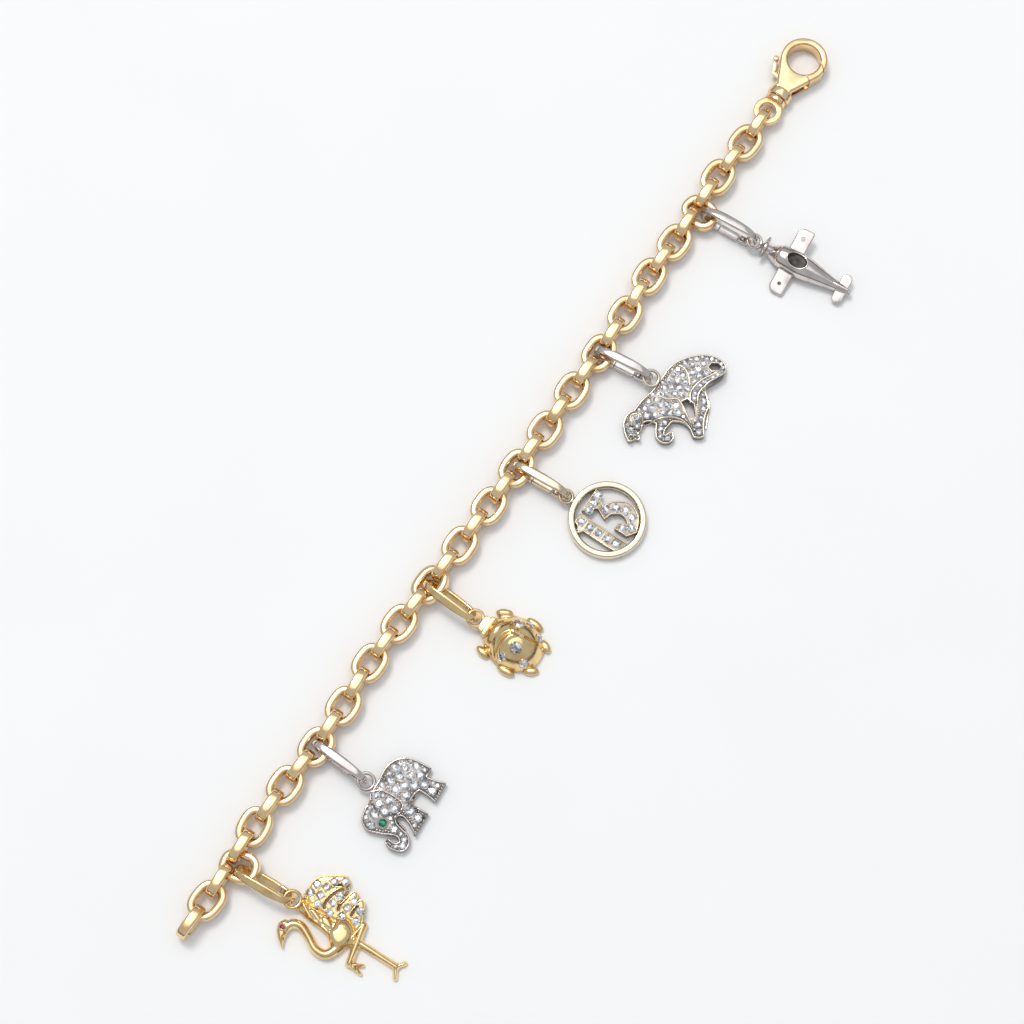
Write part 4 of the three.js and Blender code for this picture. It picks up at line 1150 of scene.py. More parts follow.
@dataclass
class Chain:
    """The chain's links, every other one on edge, as one piece that keeps its shape."""

    long: float = 6.2
    wide: float = 5.0
    wire: float = 1.02
    flat_wire: float = 1.34
    deep: float = 1.8
    start: float = -79.3
    squareness: float = 2.6
    on_edge: float = 2.415
    rise: float = 0.19
    bite: float = 0.04
    crossings: list[Vector] = field(default_factory=list)
    places: list[Matrix] = field(default_factory=list)

    @property
    def half_long(self) -> float:
        """Half a link's length to the middle of its wire."""
        return (self.long - self.wire) / 2

    @property
    def pair(self) -> float:
        """How far one flat link lies from the next where the chain is straight."""
        return 2 * (self.long - 2 * self.wire)

    def lay(self) -> None:
        """Works out where every link lies from the route."""
        self.lay_on_edge(self.lay_flat())

    def lay_flat(self) -> list[float]:
        """Works out where the flat links lie.

        Returns:
            How far each one reaches along the chain from its crossing.
        """
        half_wide = (self.wide - self.wire) / 2
        x, reaches = self.start, []
        for row in ROUTE:
            x += row.step * self.pair
            turn, tip = math.radians(row.turn), math.radians(row.tip)
            crossed = abs(row.turn) > ACROSS_FROM
            y, hang = row.side * self.wide, row.hang * self.long
            high = (self.wire + (0 if crossed else self.rise) - self.bite + self.deep / 2 / math.cos(tip)
                    + (hang + self.deep / 4) * math.tan(tip))
            self.crossings.append(Vector((x, y, 0)))
            reaches.append(half_wide / abs(math.sin(turn)) if crossed else self.half_long)
            middle = (x - hang / math.tan(turn) if crossed else x, y - hang, high)
            self.places.append(Matrix.Translation(middle)
                               @ Matrix.Rotation(-tip, 4, "X") @ Matrix.Rotation(turn, 4, "Z"))
        return reaches

    def lay_on_edge(self, reaches: Sequence[float]) -> None:
        """Works out where the links on edge lie: before, between and after the flat ones.

        Args:
            reaches: how far each flat link reaches along the chain from its crossing.
        """
        crossings = self.crossings
        for i in range(len(crossings) + 1):
            # The first and the last have one neighbour each, so their free ends are chosen
            right = crossings[i] if i < len(crossings) else None
            left = crossings[i - 1] if i else Vector((
                right.x - reaches[0] - self.half_long * 1.25 - reaches[0], right.y + 0.02 * self.wide, 0))
            start = left.x + (reaches[i - 1] if i else reaches[0])
            end = right.x - reaches[i] if right else start + 1.1 + 0.7 * self.half_long
            far = right.y if right else left.y
            middle = ((start + end) / 2, (left.y + far) / 2, self.on_edge)
            self.places.append(Matrix.Translation(middle)
                               @ Matrix.Rotation(math.atan2(far - left.y, self.pair), 4, "Z")
                               @ Matrix.Rotation(math.pi / 2, 4, "X"))

    def link(self, wire: float, section: Sequence[Point]) -> Mesh:
        """One link lying flat about the origin. A thicker wire grows outwards and leaves the opening.

        Args:
            wire: the wire's thickness.
            section: half the wire's section, as shares.

        Returns:
            The link.
        """
        grown = (wire - self.wire) / 2
        half_long, half_wide = self.half_long + grown, self.on_edge - self.wire / 2 + grown
        stations = []
        for i in range(LINK_STEPS):
            place, out = oval_stop(half_long, half_wide, self.squareness, 2 * math.pi * i / LINK_STEPS)
            stations.append(station(place, out * wire / 2, (0, 0, self.deep / 2)))
        return swept(mirrored(section), [*stations, stations[0]], True)

    def build(self) -> Mesh:
        """All the links: the flat ones of thick round wire, the ones on edge of flatter wire."""
        flat = copies(self.link(self.flat_wire, ROUND_SECTION), self.places[:len(ROUTE)])
        return joined([flat, copies(self.link(self.wire, WIRE_SECTION), self.places[len(ROUTE):])])

    def dress(self) -> None:
        """Shows the chain in yellow gold."""
        Piece("chain_links", YELLOW, ("chain",)).show(self.build(), Matrix.Translation(ROUTE_ORIGIN))


# Clasp


@dataclass
class Clasp:
    """Sprung clasp: an eye with a swivel post, a hook round an opening, and its trigger and gate."""

    last_link: Matrix
    # The eye, and how far it lies past the last link and off the ground
    past_link: float = 3.094
    off_ground: float = 1.42
    eye_outer: float = 5.0
    eye_hole: float = 2.8
    eye_thick: float = 1.3
    # Where the post's flange and the hook's collar start and end along the clasp
    flange: tuple[float, float] = (1.9, 2.8)
    flange_half: float = 1.9
    post_half: float = 0.65
    collar: tuple[float, float] = (3.0, 4.7)
    collar_size: tuple[float, float] = (4.3, 3.6)
    thick: float = 2.9
    opening: float = 5.7
    band: float = 1.3
    reach: float = 6.75
    shoulder: float = 2.9
    edge: float = 0.42
    pivot: Point = (6.455, -0.203)
    pin: float = 0.4
    # Half a seam's width, and where the gate's seams cross the band and slant, in degrees
    seam: float = 0.1
    seams: tuple[Point, Point] = ((222, 54), (279, 50))
    tilt: float = 2.0

    @property
    def centre(self) -> float:
        """Where the opening's middle lies along the clasp."""
        return self.collar[1] + self.reach

    @property
    def place(self) -> Matrix:
        """The clasp's frame: the eye's centre, running along X.

        Returns:
            The frame, with the clasp's own tilt.
        """
        link = self.last_link.translation
        spot = Vector((link.x + self.past_link, link.y, self.off_ground + self.eye_thick / 2))
        return Matrix.Translation(spot + ROUTE_ORIGIN) @ Matrix.Rotation(math.radians(self.tilt), 4, "Y")

    def eye(self) -> Mesh:
        """The eye, its flange and the swivel post.

        Returns:
            The mesh in the clasp's frame.
        """
        inner, outer, half = self.eye_hole / 2, self.eye_outer / 2, self.eye_thick / 2
        ring = lathe([(inner, -half), (outer, -half), (outer, half), (inner, half), (inner, -half)], 64)
        soften(ring, 0.22, 4)
        low, high = self.flange
        end, wide, thin = high + 1.0, self.flange_half, self.post_half
        post = lathe([(0, low), (wide, low), (wide, high), (thin, high), (thin, end), (0, end)], 40)
        soften(post, 0.16, 3)
        return joined([ring, placed(post, Matrix.Rotation(math.pi / 2, 4, "Y"))])

    def outline(self, inset: float) -> list[Point]:
        """The hook's outside drawn in by an inset: straight shoulders running into a round end.

        Args:
            inset: how far it is drawn in.

        Returns:
            The outline's corners.
        """
        outer = self.opening / 2 + self.band - inset
        half = self.shoulder / 2 - inset
        touch = math.atan2(half, -self.reach) - math.acos(outer / math.hypot(self.reach, half))
        start, waist = self.collar[1] - 0.45 + inset, self.collar[1] + inset
        return [(start, -half), (waist, -half), *arc((self.centre, 0), outer, -touch, touch, 72),
                (waist, half), (start, half)]

    def body(self) -> Mesh:
        """The hook's band, thick and softly rounded, before it is cut into hook and gate.

        Returns:
            The mesh in the clasp's frame.
        """
        half, radius = self.thick / 2, self.edge
        opening = [(self.opening / 2 + inset, high) for inset, high in rounded_levels(half, radius)]
        wide = self.opening / 2 + radius
        bore = lathe([(0, half + 1), (wide, half + 1), *opening, (wide, -half - 1), (0, -half - 1)], 72)
        placed(bore, Matrix.Translation((self.centre, 0, 0)))
        return cut(rounded_plate(self.outline, half, radius), bore)

    def gate_region(self, grow: float) -> Mesh:
        """The space between the two slanted seams, a little larger or smaller than the gate.

        Args:
            grow: the gap at each seam; below zero the gate keeps it.

        Returns:
            The region's solid.
        """
        ends = []
        middle_radius = (self.opening + self.band) / 2
        for seam, shift in zip(self.seams, (-grow, grow)):
            angle, slant = (math.radians(degrees) for degrees in seam)
            along = Vector((math.cos(slant), math.sin(slant)))
            middle = Vector((self.centre + middle_radius * math.cos(angle) + shift * along.y,
                             middle_radius * math.sin(angle) - shift * along.x))
            ends.append((middle + along * 1.6 * self.band, middle - along * 1.6 * self.band))
        (near_in, near_out), (far_in, far_out) = ends
        below = (self.centre - self.band, -1.5 * (self.opening / 2 + self.band))
        return slab([near_in, near_out, below, far_out, far_in], -self.thick, self.thick)

    def hook(self) -> Mesh:
        """The hook with its collar and its lever slot.

        Returns:
            The mesh in the clasp's frame.
        """
        outer = self.opening / 2 + self.band
        c, (start, end) = self.centre, self.collar
        slot = slab([(end + 0.45, -outer - 0.4), (end + 0.45, outer + 0.4), (c - 3.5, outer + 0.4),
                     (c - 3.7, 0.4), (c - 2.3, -0.3), (c - 1.95, -2.0), (c - 2.3, -outer)], -0.7, 0.7)
        band = cut(cut(self.body(), slot), self.gate_region(self.seam))
        half, flat = self.collar_size[0] / 2, self.collar_size[1] / self.collar_size[0]
        collar = lathe([(0, start + 1.0), (0.95, start + 1.0), (0.95, start), (0.9 * half, start),
                        (half, start + 0.28), (half, end - 0.3), (0.88 * half, end), (0, end)], 56)
        soften(collar, 0.12, 2, 30)
        placed(collar, Matrix.Diagonal((1, 1, flat, 1)), Matrix.Rotation(math.pi / 2, 4, "Y"))
        reach = self.thick / 2 - 0.2
        pin = placed(rod(self.pin, -reach, reach), Matrix.Translation((*self.pivot, 0)))
        return joined([band, collar, pin])

    def trigger(self) -> Mesh:
        """The gate, the lever through the slot and the nub it is opened with.

        Returns:
            The mesh in the clasp's frame.
        """
        gate = cut(self.body(), self.gate_region(-self.seam), "INTERSECT")
        pivot, anchor = self.pivot, (self.centre - 2.3, -2.55)
        elbow = (pivot[0] + 0.4, pivot[1] + 3.35)
        knob = (self.centre - 2.35, self.opening / 2 + self.band + 0.08)
        arms = [soften(slab(capsule(start, end, half), -0.38, 0.38), 0.1, 2) for start, end, half in (
            (pivot, anchor, 0.42), (pivot, elbow, 0.42), (elbow, knob, 0.34))]
        nub = soften(placed(rod(0.5, -0.85, 0.85), Matrix.Translation((*knob, 0))), 0.2, 3)
        bore = placed(rod(self.pin + 0.12, -1.5, 1.5), Matrix.Translation((*pivot, 0)))
        return joined([gate, cut(joined([*arms, nub]), bore)])

    def dress(self) -> None:
        """Shows the three parts in yellow gold, each on its own body."""
        Piece("eye_and_post", YELLOW, ("clasp_eye",)).show(self.eye(), self.place)
        Piece("hook_band", YELLOW, ("clasp_hook",), "hook").show(self.hook(), self.place)
        Piece("trigger_and_gate", YELLOW, ("clasp_trigger",), "trigger").show(self.trigger(), self.place)


# Carriers

CARRIER_LONG = 11.0
CARRIER_HIGH = 4.8
CARRIER_WIDE = 1.7

# How high a bail's middle lies in its carrier, as a share of the carrier's height
BAIL_SHARE = 0.38


@dataclass(frozen=True)
class Hanger:
    """How a charm hangs: its link, its carrier's offset and angles, and its bail's place in that."""

    name: str
    link: int
    along: float
    across: float
    lean: float
    turn: float
    slip: float
    aside: float
    finish: Metal
    lift: float = 0.0
    swing: float = 0.0

    def carrier_place(self, crossings: Sequence[Vector]) -> Matrix:
        """The carrier's frame in the row frame.

        Args:
            crossings: where each flat link crosses the chain's line.

        Returns:
            The carrier's frame.
        """
        lean, turn = math.radians(self.lean), math.radians(self.turn)
        high = CARRIER_WIDE / 2 * abs(math.sin(lean)) + self.lift
        spot = crossings[self.link] + Vector((self.along, self.across, high))
        return (Matrix.Translation(spot + ROUTE_ORIGIN) @ Matrix.Rotation(turn, 4, "Z")
                @ Matrix.Rotation(lean, 4, "Y"))

    def charm_place(self, crossings: Sequence[Vector]) -> Matrix:
        """The charm's frame: its bail's centre over the ground it lies on.

        Args:
            crossings: where each flat link crosses the chain's line.

        Returns:
            The charm's frame.
        """
        inside = Vector((self.aside, self.slip - CARRIER_LONG, BAIL_SHARE * CARRIER_HIGH))
        bail = self.carrier_place(crossings) @ inside
        return Matrix.Translation((bail.x, bail.y, 0)) @ Matrix.Rotation(math.radians(self.swing), 4, "Z")


HANGERS = {hanger.name: hanger for hanger in (
    Hanger("flamingo", 1, 0.97, -1.0, -25, 5, 0.45, -0.03, DEEP),
    Hanger("elephant", 4, 0.12, 0.9, 3, -1.2, 0.16, 0.07, WHITE),
    Hanger("ladybird", 8, 1.03, 1.0, -26, -2.3, 0.52, -0.16, DEEP, lift=0.06),
    Hanger("medal", 11, -0.02, 0.84, 2.6, 4.1, 0.58, 0.0, PALE, swing=1.0),
    Hanger("big_cat", 14, -0.14, 0.9, 2.9, 6.7, 0.3, 0.25, WHITE),
    Hanger("plane", 18, -0.27, -1.02, 7.6, 3.9, 0.5, 0.15, WHITE, swing=5.1),
)}


@dataclass
class Carrier:
    """A long hoop through the chain with a hinged gate in its lower side."""

    hanger: Hanger
    place: Matrix
    long: float = CARRIER_LONG
    high: float = CARRIER_HIGH
    thick: float = 0.75
    wide: float = CARRIER_WIDE
    end_wide: float = 0.85
    squareness: float = 3.0
    seat: float = 3.9
    hinge: float = 8.4
    knuckle: float = 1.0

    def angle(self, along: float) -> float:
        """The angle round the hoop at which its lower side is this far along."""
        share = (along - self.long / 2) / ((self.long - self.thick) / 2)
        return -math.acos(math.copysign(abs(share) ** (self.squareness / 2), share))

    def half_wide(self, along: float) -> float:
        """Half the band's width this far along."""
        return (self.wide - (self.wide - self.end_wide) * (2 * along / self.long - 1) ** 2) / 2

    def stop(self, turn: float) -> tuple[Vector, Vector]:
        """The band's middle at a place round the hoop, which stands along -Y.

        Args:
            turn: the place as an angle in radians.

        Returns:
            The middle and the outward direction there.
        """
        middle, out = oval_stop((self.long - self.thick) / 2, (self.high - self.thick) / 2,
                                self.squareness, turn)
        spot = Vector((0, -middle.x - self.long / 2, middle.y + self.high / 2))
        return spot, Vector((0, -out.x, out.y))

    def band(self, start: float, end: float, steps: int, thick: float,
             widths: Callable[[float], float]) -> Mesh:
        """Part of the hoop between two angles.

        Args:
            start: the first angle.
            end: the last one.
            steps: sections between them.
            thick: the band's thickness.
            widths: gives its half width from the place along.

        Returns:
            The band, closed at both ends.
        """
        stations = []
        for i in range(steps + 1):
            middle, out = self.stop(start + (end - start) * i / steps)
            stations.append(station(middle, out * thick / 2, Vector((-widths(-middle.y), 0, 0))))
        return swept(mirrored(BAND_SECTION), stations, False)

    def hoop(self) -> Mesh:
        """The fixed part, forked round the gate's knuckle, with the hinge pin.

        Returns:
            The mesh in the carrier's frame.
        """
        start = self.angle(self.hinge - self.knuckle / 2)
        hoop = self.band(start, self.angle(self.seat) + 2 * math.pi, 72, self.thick, self.half_wide)
        slot = box((0.84, 1.6, self.high / 2),
                   Matrix.Translation((0, -self.hinge, self.high / 4 - 0.3)))
        half = self.half_wide(self.hinge) - 0.12
        return joined([cut(hoop, slot), placed(rod(0.2, -half, half, 20), self.hinge_place())])

    def hinge_place(self) -> Matrix:
        """The hinge pin's frame, its Z along the pin."""
        middle, _ = self.stop(self.angle(self.hinge))
        return Matrix.Translation(middle) @ Matrix.Rotation(math.pi / 2, 4, "Y")

    def gate(self) -> Mesh:
        """The gate's bar with a raised tongue, and its knuckle.

        Returns:
            The mesh in the carrier's frame.
        """
        end = self.hinge - self.knuckle / 2 - 0.3
        bar = self.band(self.angle(self.seat + 0.2), self.angle(end), 24, 0.92 * self.thick,
                        lambda along: 0.94 * self.half_wide(along))
        neck = self.band(self.angle(end + 0.02), self.angle(self.hinge), 6, 0.86 * self.thick,
                         lambda _: 0.29)
        knuckle = placed(soften(rod(self.knuckle / 2, -0.3, 0.3, 28), 0.08, 2), self.hinge_place())
        bore = placed(rod(0.32, -0.6, 0.6, 24), self.hinge_place())
        return joined([bar, cut(joined([neck, knuckle]), bore)])

    def dress(self) -> None:
        """Shows the hoop and the gate in the charm's own gold."""
        name = self.hanger.name
        Piece(f"{name}_hoop", self.hanger.finish, (f"{name}_carrier",)).show(self.hoop(), self.place)
        Piece(f"{name}_gate_bar", self.hanger.finish, (f"{name}_gate",), f"{name}_gate_body").show(
            self.gate(), self.place)


# Charms. Each is modelled from its bail's centre, lying on Z = 0 towards -Y.

# A bail ring's outer radius, its wire's radius and its tip in radians
BAIL_OUTER = 1.65
BAIL_WIRE = 0.3
BAIL_TIP = math.radians(12)

# Outlines as shares of each charm's width and height: runs that meet in corners

ELEPHANT_OUTLINE = [
    [(0.103, -0.142), (0.233, -0.113), (0.363, -0.151), (0.466, -0.264), (0.521, -0.453),
     (0.541, -0.708)],
    [(0.541, -0.708), (0.432, -0.726)],
    [(0.432, -0.726), (0.459, -0.868), (0.5, -1.02)],
    [(0.5, -1.02), (0.247, -1.06)],
    [(0.247, -1.06), (0.26, -0.887), (0.253, -0.745)],
    [(0.253, -0.745), (0.171, -0.726), (0.089, -0.736)],
    [(0.089, -0.736), (0.096, -0.906), (0.11, -1.07)],
    [(0.11, -1.07), (-0.185, -1.1)],
    [(-0.185, -1.1), (-0.116, -0.925), (-0.089, -0.774), (-0.13, -0.708), (-0.178, -0.755),
     (-0.199, -0.868), (-0.212, -1), (-0.274, -1.09), (-0.356, -1.11), (-0.425, -1.05),
     (-0.459, -0.887), (-0.438, -0.774)],
    [(-0.438, -0.774), (-0.37, -0.774)],
    [(-0.37, -0.774), (-0.377, -0.877), (-0.342, -0.943), (-0.308, -0.887), (-0.322, -0.802)],
    [(-0.322, -0.802), (-0.356, -0.726), (-0.404, -0.585), (-0.438, -0.434), (-0.39, -0.292),
     (-0.274, -0.226), (-0.164, -0.217), (-0.089, -0.151)],
]

BIG_CAT_OUTLINE = [
    [(-0.072, -0.102), (-0.139, -0.078), (-0.211, -0.059), (-0.297, -0.055)],
    [(-0.297, -0.055), (-0.344, -0.016), (-0.402, -0.016), (-0.455, -0.055), (-0.507, -0.141),
     (-0.541, -0.227)],
    [(-0.541, -0.227), (-0.526, -0.266), (-0.493, -0.289), (-0.483, -0.344)],
    [(-0.483, -0.344), (-0.459, -0.336), (-0.44, -0.289), (-0.392, -0.281), (-0.335, -0.266),
     (-0.297, -0.328), (-0.292, -0.398)],
    [(-0.292, -0.398), (-0.344, -0.445), (-0.388, -0.508), (-0.397, -0.609), (-0.364, -0.688),
     (-0.311, -0.703), (-0.268, -0.648)],
    [(-0.268, -0.648), (-0.292, -0.602), (-0.325, -0.578), (-0.287, -0.547), (-0.201, -0.562)],
    [(-0.201, -0.562), (-0.167, -0.656), (-0.163, -0.766), (-0.191, -0.852), (-0.215, -0.906)],
    [(-0.215, -0.906), (-0.187, -0.984), (-0.153, -1.02)],
    [(-0.153, -1.02), (-0.086, -0.938), (-0.005, -0.875), (0.072, -0.844), (0.129, -0.766),
     (0.182, -0.656)],
    [(0.182, -0.656), (0.234, -0.672), (0.297, -0.719), (0.354, -0.758), (0.411, -0.75), (0.455, -0.68),
     (0.459, -0.547), (0.426, -0.406), (0.368, -0.289), (0.297, -0.195), (0.211, -0.125),
     (0.134, -0.102), (0.072, -0.109)],
]

BIG_CAT_GAPS = [
    [(-0.024, -0.523), (0.01, -0.555), (0.005, -0.656), (-0.062, -0.758), (-0.096, -0.719),
     (-0.067, -0.609)],
    [(0.4, -0.675), (0.407, -0.619), (0.38, -0.555), (0.345, -0.547), (0.338, -0.603), (0.365, -0.667)],
]

NUMERAL_ONE = [
    (-0.345, 0.205), (-0.275, 0.27), (-0.25, 0.325), (-0.12, 0.325), (-0.12, -0.42), (-0.295, -0.4),
    (-0.295, 0.17)]

NUMERAL_THREE = [
    [(-0.08, 0.33), (0.27, 0.33)],
    [(0.27, 0.33), (0.11, 0.14)],
    [(0.11, 0.14), (0.24, 0.06), (0.33, -0.12), (0.25, -0.3), (0.06, -0.4)],
    [(0.06, -0.4), (-0.05, -0.32)],
    [(-0.05, -0.32), (-0.05, -0.14)],
    [(-0.05, -0.14), (0.04, -0.14)],
    [(0.04, -0.14), (0.09, -0.24), (0.15, -0.12), (0.08, 0.0)],
    [(0.08, 0.0), (-0.02, 0.03)],
    [(-0.02, 0.03), (0.05, 0.18)],
    [(0.05, 0.18), (-0.08, 0.18)],
]

NUMERAL_STONES = [
    (-0.205, 0.255), (-0.205, 0.125), (-0.205, -0.005), (-0.205, -0.13), (-0.205, -0.255),
    (-0.025, 0.255), (0.085, 0.255), (0.19, 0.27), (0.1, 0.085), (0.185, -0.01), (0.225, -0.13),
    (0.185, -0.245), (0.08, -0.31), (0.01, -0.225)]

BEETLE_OUTLINE = [
    [(0.165, 0.51), (0.0, 0.5), (-0.209, 0.49), (-0.363, 0.382), (-0.473, 0.206), (-0.505, 0.069),
     (-0.473, -0.118), (-0.396, -0.265), (-0.264, -0.392), (-0.121, -0.47), (0.022, -0.49),
     (0.176, -0.47), (0.297, -0.392), (0.429, -0.245), (0.484, -0.069), (0.495, 0.078), (0.44, 0.245),
     (0.363, 0.392), (0.253, 0.47)],
]

BIRD_HEAD = [
    [(-0.465, -0.155), (-0.42, -0.09), (-0.35, -0.035), (-0.27, -0.012), (-0.2, -0.04)],
    [(-0.2, -0.04), (-0.2, -0.13)],
    [(-0.2, -0.13), (-0.28, -0.115), (-0.38, -0.125), (-0.465, -0.155)],
]

BIRD_CHEST = [
    [(-0.06, -0.06), (0.1, -0.06)],
    [(0.1, -0.06), (0.07, -0.2), (0.11, -0.33), (0.17, -0.42), (0.16, -0.51), (0.06, -0.555),
     (-0.02, -0.58)],
    [(-0.02, -0.58), (-0.12, -0.53), (-0.2, -0.5), (-0.15, -0.43), (-0.09, -0.37), (-0.078, -0.22),
     (-0.06, -0.06)],
]

BIRD_WING = [
    [(0.1, -0.05), (0.22, -0.042), (0.34, -0.06), (0.425, -0.13), (0.515, -0.24), (0.465, -0.3)],
    [(0.465, -0.3), (0.4, -0.225), (0.345, -0.195)],
    [(0.345, -0.195), (0.41, -0.265), (0.38, -0.3), (0.24, -0.315)],
    [(0.24, -0.315), (0.36, -0.33), (0.44, -0.355), (0.41, -0.405), (0.3, -0.41)],
    [(0.3, -0.41), (0.4, -0.425), (0.39, -0.48), (0.28, -0.52), (0.19, -0.56)],
    [(0.19, -0.56), (0.02, -0.55)],
    [(0.02, -0.55), (0.07, -0.4), (0.04, -0.2), (0.1, -0.05)],
]


def bail_ring(high: float, share: float = 1.0) -> Mesh:
    """The soldered ring over a charm's origin, its centre so high and its size a share of the usual."""
    ring = wire(circle((0, 0), share * BAIL_OUTER - BAIL_WIRE, 0, 40), BAIL_WIRE, True, 12)
    return placed(ring, Matrix.Translation((0, 0, high)), Matrix.Rotation(BAIL_TIP, 4, "X"))


@dataclass
class Charm:
    """A charm hanging from its carrier."""

    place: Matrix

    def metal(self, name: str, finish: Metal, body: Mesh, extras: Iterable[Mesh] = ()) -> None:
        """Shows the charm's metal, which stands for the whole solid charm."""
        Piece(f"{name}_body", finish, (f"{name}_charm",)).show(joined([body, *extras]), self.place)

    def trim(self, name: str, finish: Metal, parts: Iterable[Mesh]) -> None:
        """Shows a second metal on the charm: bright metal standing proud of its body, a lighter copy as
        painted highlight, or a darker copy as painted shade in seats and hollows.
        """
        Piece(f"{name}_trim", finish).show(joined(parts), self.place)

    def gems(self, name: str, bm: Mesh, finish: Gem = DIAMOND, nodes: tuple[str, ...] = ()) -> None:
        """Shows some of the charm's stones."""
        Piece(name, finish, nodes).show(bm, self.place)


@dataclass
class Paved(Charm):
    """A charm whose side is set all over with stones, with grains of metal between them."""

    slant: float = 0.0
    stones: tuple[float, ...] = ()
    grains: tuple[float, ...] = ()

    def pave(self, cast: Cast, ridges: Sequence[np.ndarray],
             fixed: Sequence[Laid]) -> tuple[list[Laid], list[Laid]]:
        """Works out where the stones and the grains lie.

        Args:
            cast: what they are set in.
            ridges: paths that are kept clear.
            fixed: what is already laid there.

        Returns:
            The new stones and the grains.
        """
        places = open_places(cast, ridges, self.slant)
        stones = packed(*places, self.stones, fixed)
        return stones, packed(*places, self.grains, [*fixed, *stones])


@dataclass
class Elephant(Paved):
    """Elephant in white gold, its side set with stones and its eye an emerald."""

    long: float = 14.6
    tall: float = 10.6
    thick: float = 2.2
    slant: float = 0.12
    stones: tuple[float, ...] = (1.56, 1.3, 1.05, 0.8)
    grains: tuple[float, ...] = (0.42, 0.28)
    # The eye as shares of the size, and each foot's row of toes with their pitch
    eye: Point = (-0.274, -0.585)
    feet: tuple[tuple[Point, Point, float], ...] = (
        ((-2.4, -11.35), (-0.5, -11.2), 0.5), ((0.75, -11.05), (1.35, -11.0), 0.45),
        ((3.9, -10.95), (7.0, -10.6), 0.5))
    ear: tuple[Point, ...] = (
        (-0.95, -1.7), (0.14, -2.7), (0.55, -4.6), (0.6, -6.2), (0.14, -7.2), (-0.9, -7.5))
    jaw: tuple[Point, ...] = ((-0.9, -7.5), (-1.9, -7.2), (-2.35, -7.5), (-2.45, -8.7), (-2.7, -9.7))
    shoulder: tuple[Point, ...] = ((0.6, -6.4), (1.0, -7.2), (1.75, -7.75), (2.6, -8.0))

    def cast(self) -> Cast:
        """The body with its ear standing proud and its legs parted.

        Returns:
            The cast.
        """
        outline = outline_of(ELEPHANT_OUTLINE, self.long, self.tall)
        ear = curve(*self.ear, (-2.2, -6.6), (-2.9, -4.6), (-2.6, -2.6))
        lines = [
            Bead(curve((1.4, -7.9), (0.85, -9.5), (0.1, -11.5)), 0.3, -0.65),
            Bead(curve((5.0, -8.6), (5.2, -10.8)), 0.24, -0.5),
            Bead(curve((2.4, -2.4), (3.2, -4.6), (3.3, -6.6), (2.6, -8.0)), 0.7, 0.14),
        ]
        parts = [Pillow(outline, 1.3, self.thick - 0.15, 1.1),
                 Pillow(ear, 2.0, self.thick + 0.25, 0.6)]
        return Cast(parts, lines)

    def dress(self) -> None:
        """Shows the body, its stones with the grains between them, and the eye."""
        cast = self.cast()
        eye = (self.eye[0] * self.long, self.eye[1] * self.tall)
        outline = cast.parts[0].loop
        ridges = [curve(*path) for path in (self.ear, self.jaw, self.shoulder)]
        feet = np.vstack([along((start, end), pitch) for start, end, pitch in self.feet])
        stones, grains = self.pave(cast, ridges, [(np.array(eye), 2.0), *[(spot, 0.5) for spot in feet]])
        rim = circle(eye, 0.8, self.thick + 0.02, 32)
        toes = copies(ball((0.24, 0.24, 0.3), 12, 8), [Matrix.Translation((x, y, 1.55)) for x, y in feet])
        # The body in a much darker copy of the white gold: painted shade between the stones.
        self.metal("elephant", SHADE_PAINTED_SEAT, cast.build())
        self.trim("elephant", WHITE, [bail_ring(2.0), wire(rim, 0.15, True), toes,
                                      ridges_on(cast, ridges, 0.17, 0.04),
                                      ridges_on(cast, [drawn_in(outline, 0.16)], 0.17, 0.1),
                                      grains_on(cast, grains)])
        self.gems("elephant_stones", stones_on(cast, stones))
        eye_stone = placed(brilliant(1.4), Matrix.Translation((*eye, self.thick - 0.05)))
        self.gems("emerald_eye_cut", eye_stone, EMERALD, ("emerald_eye",))


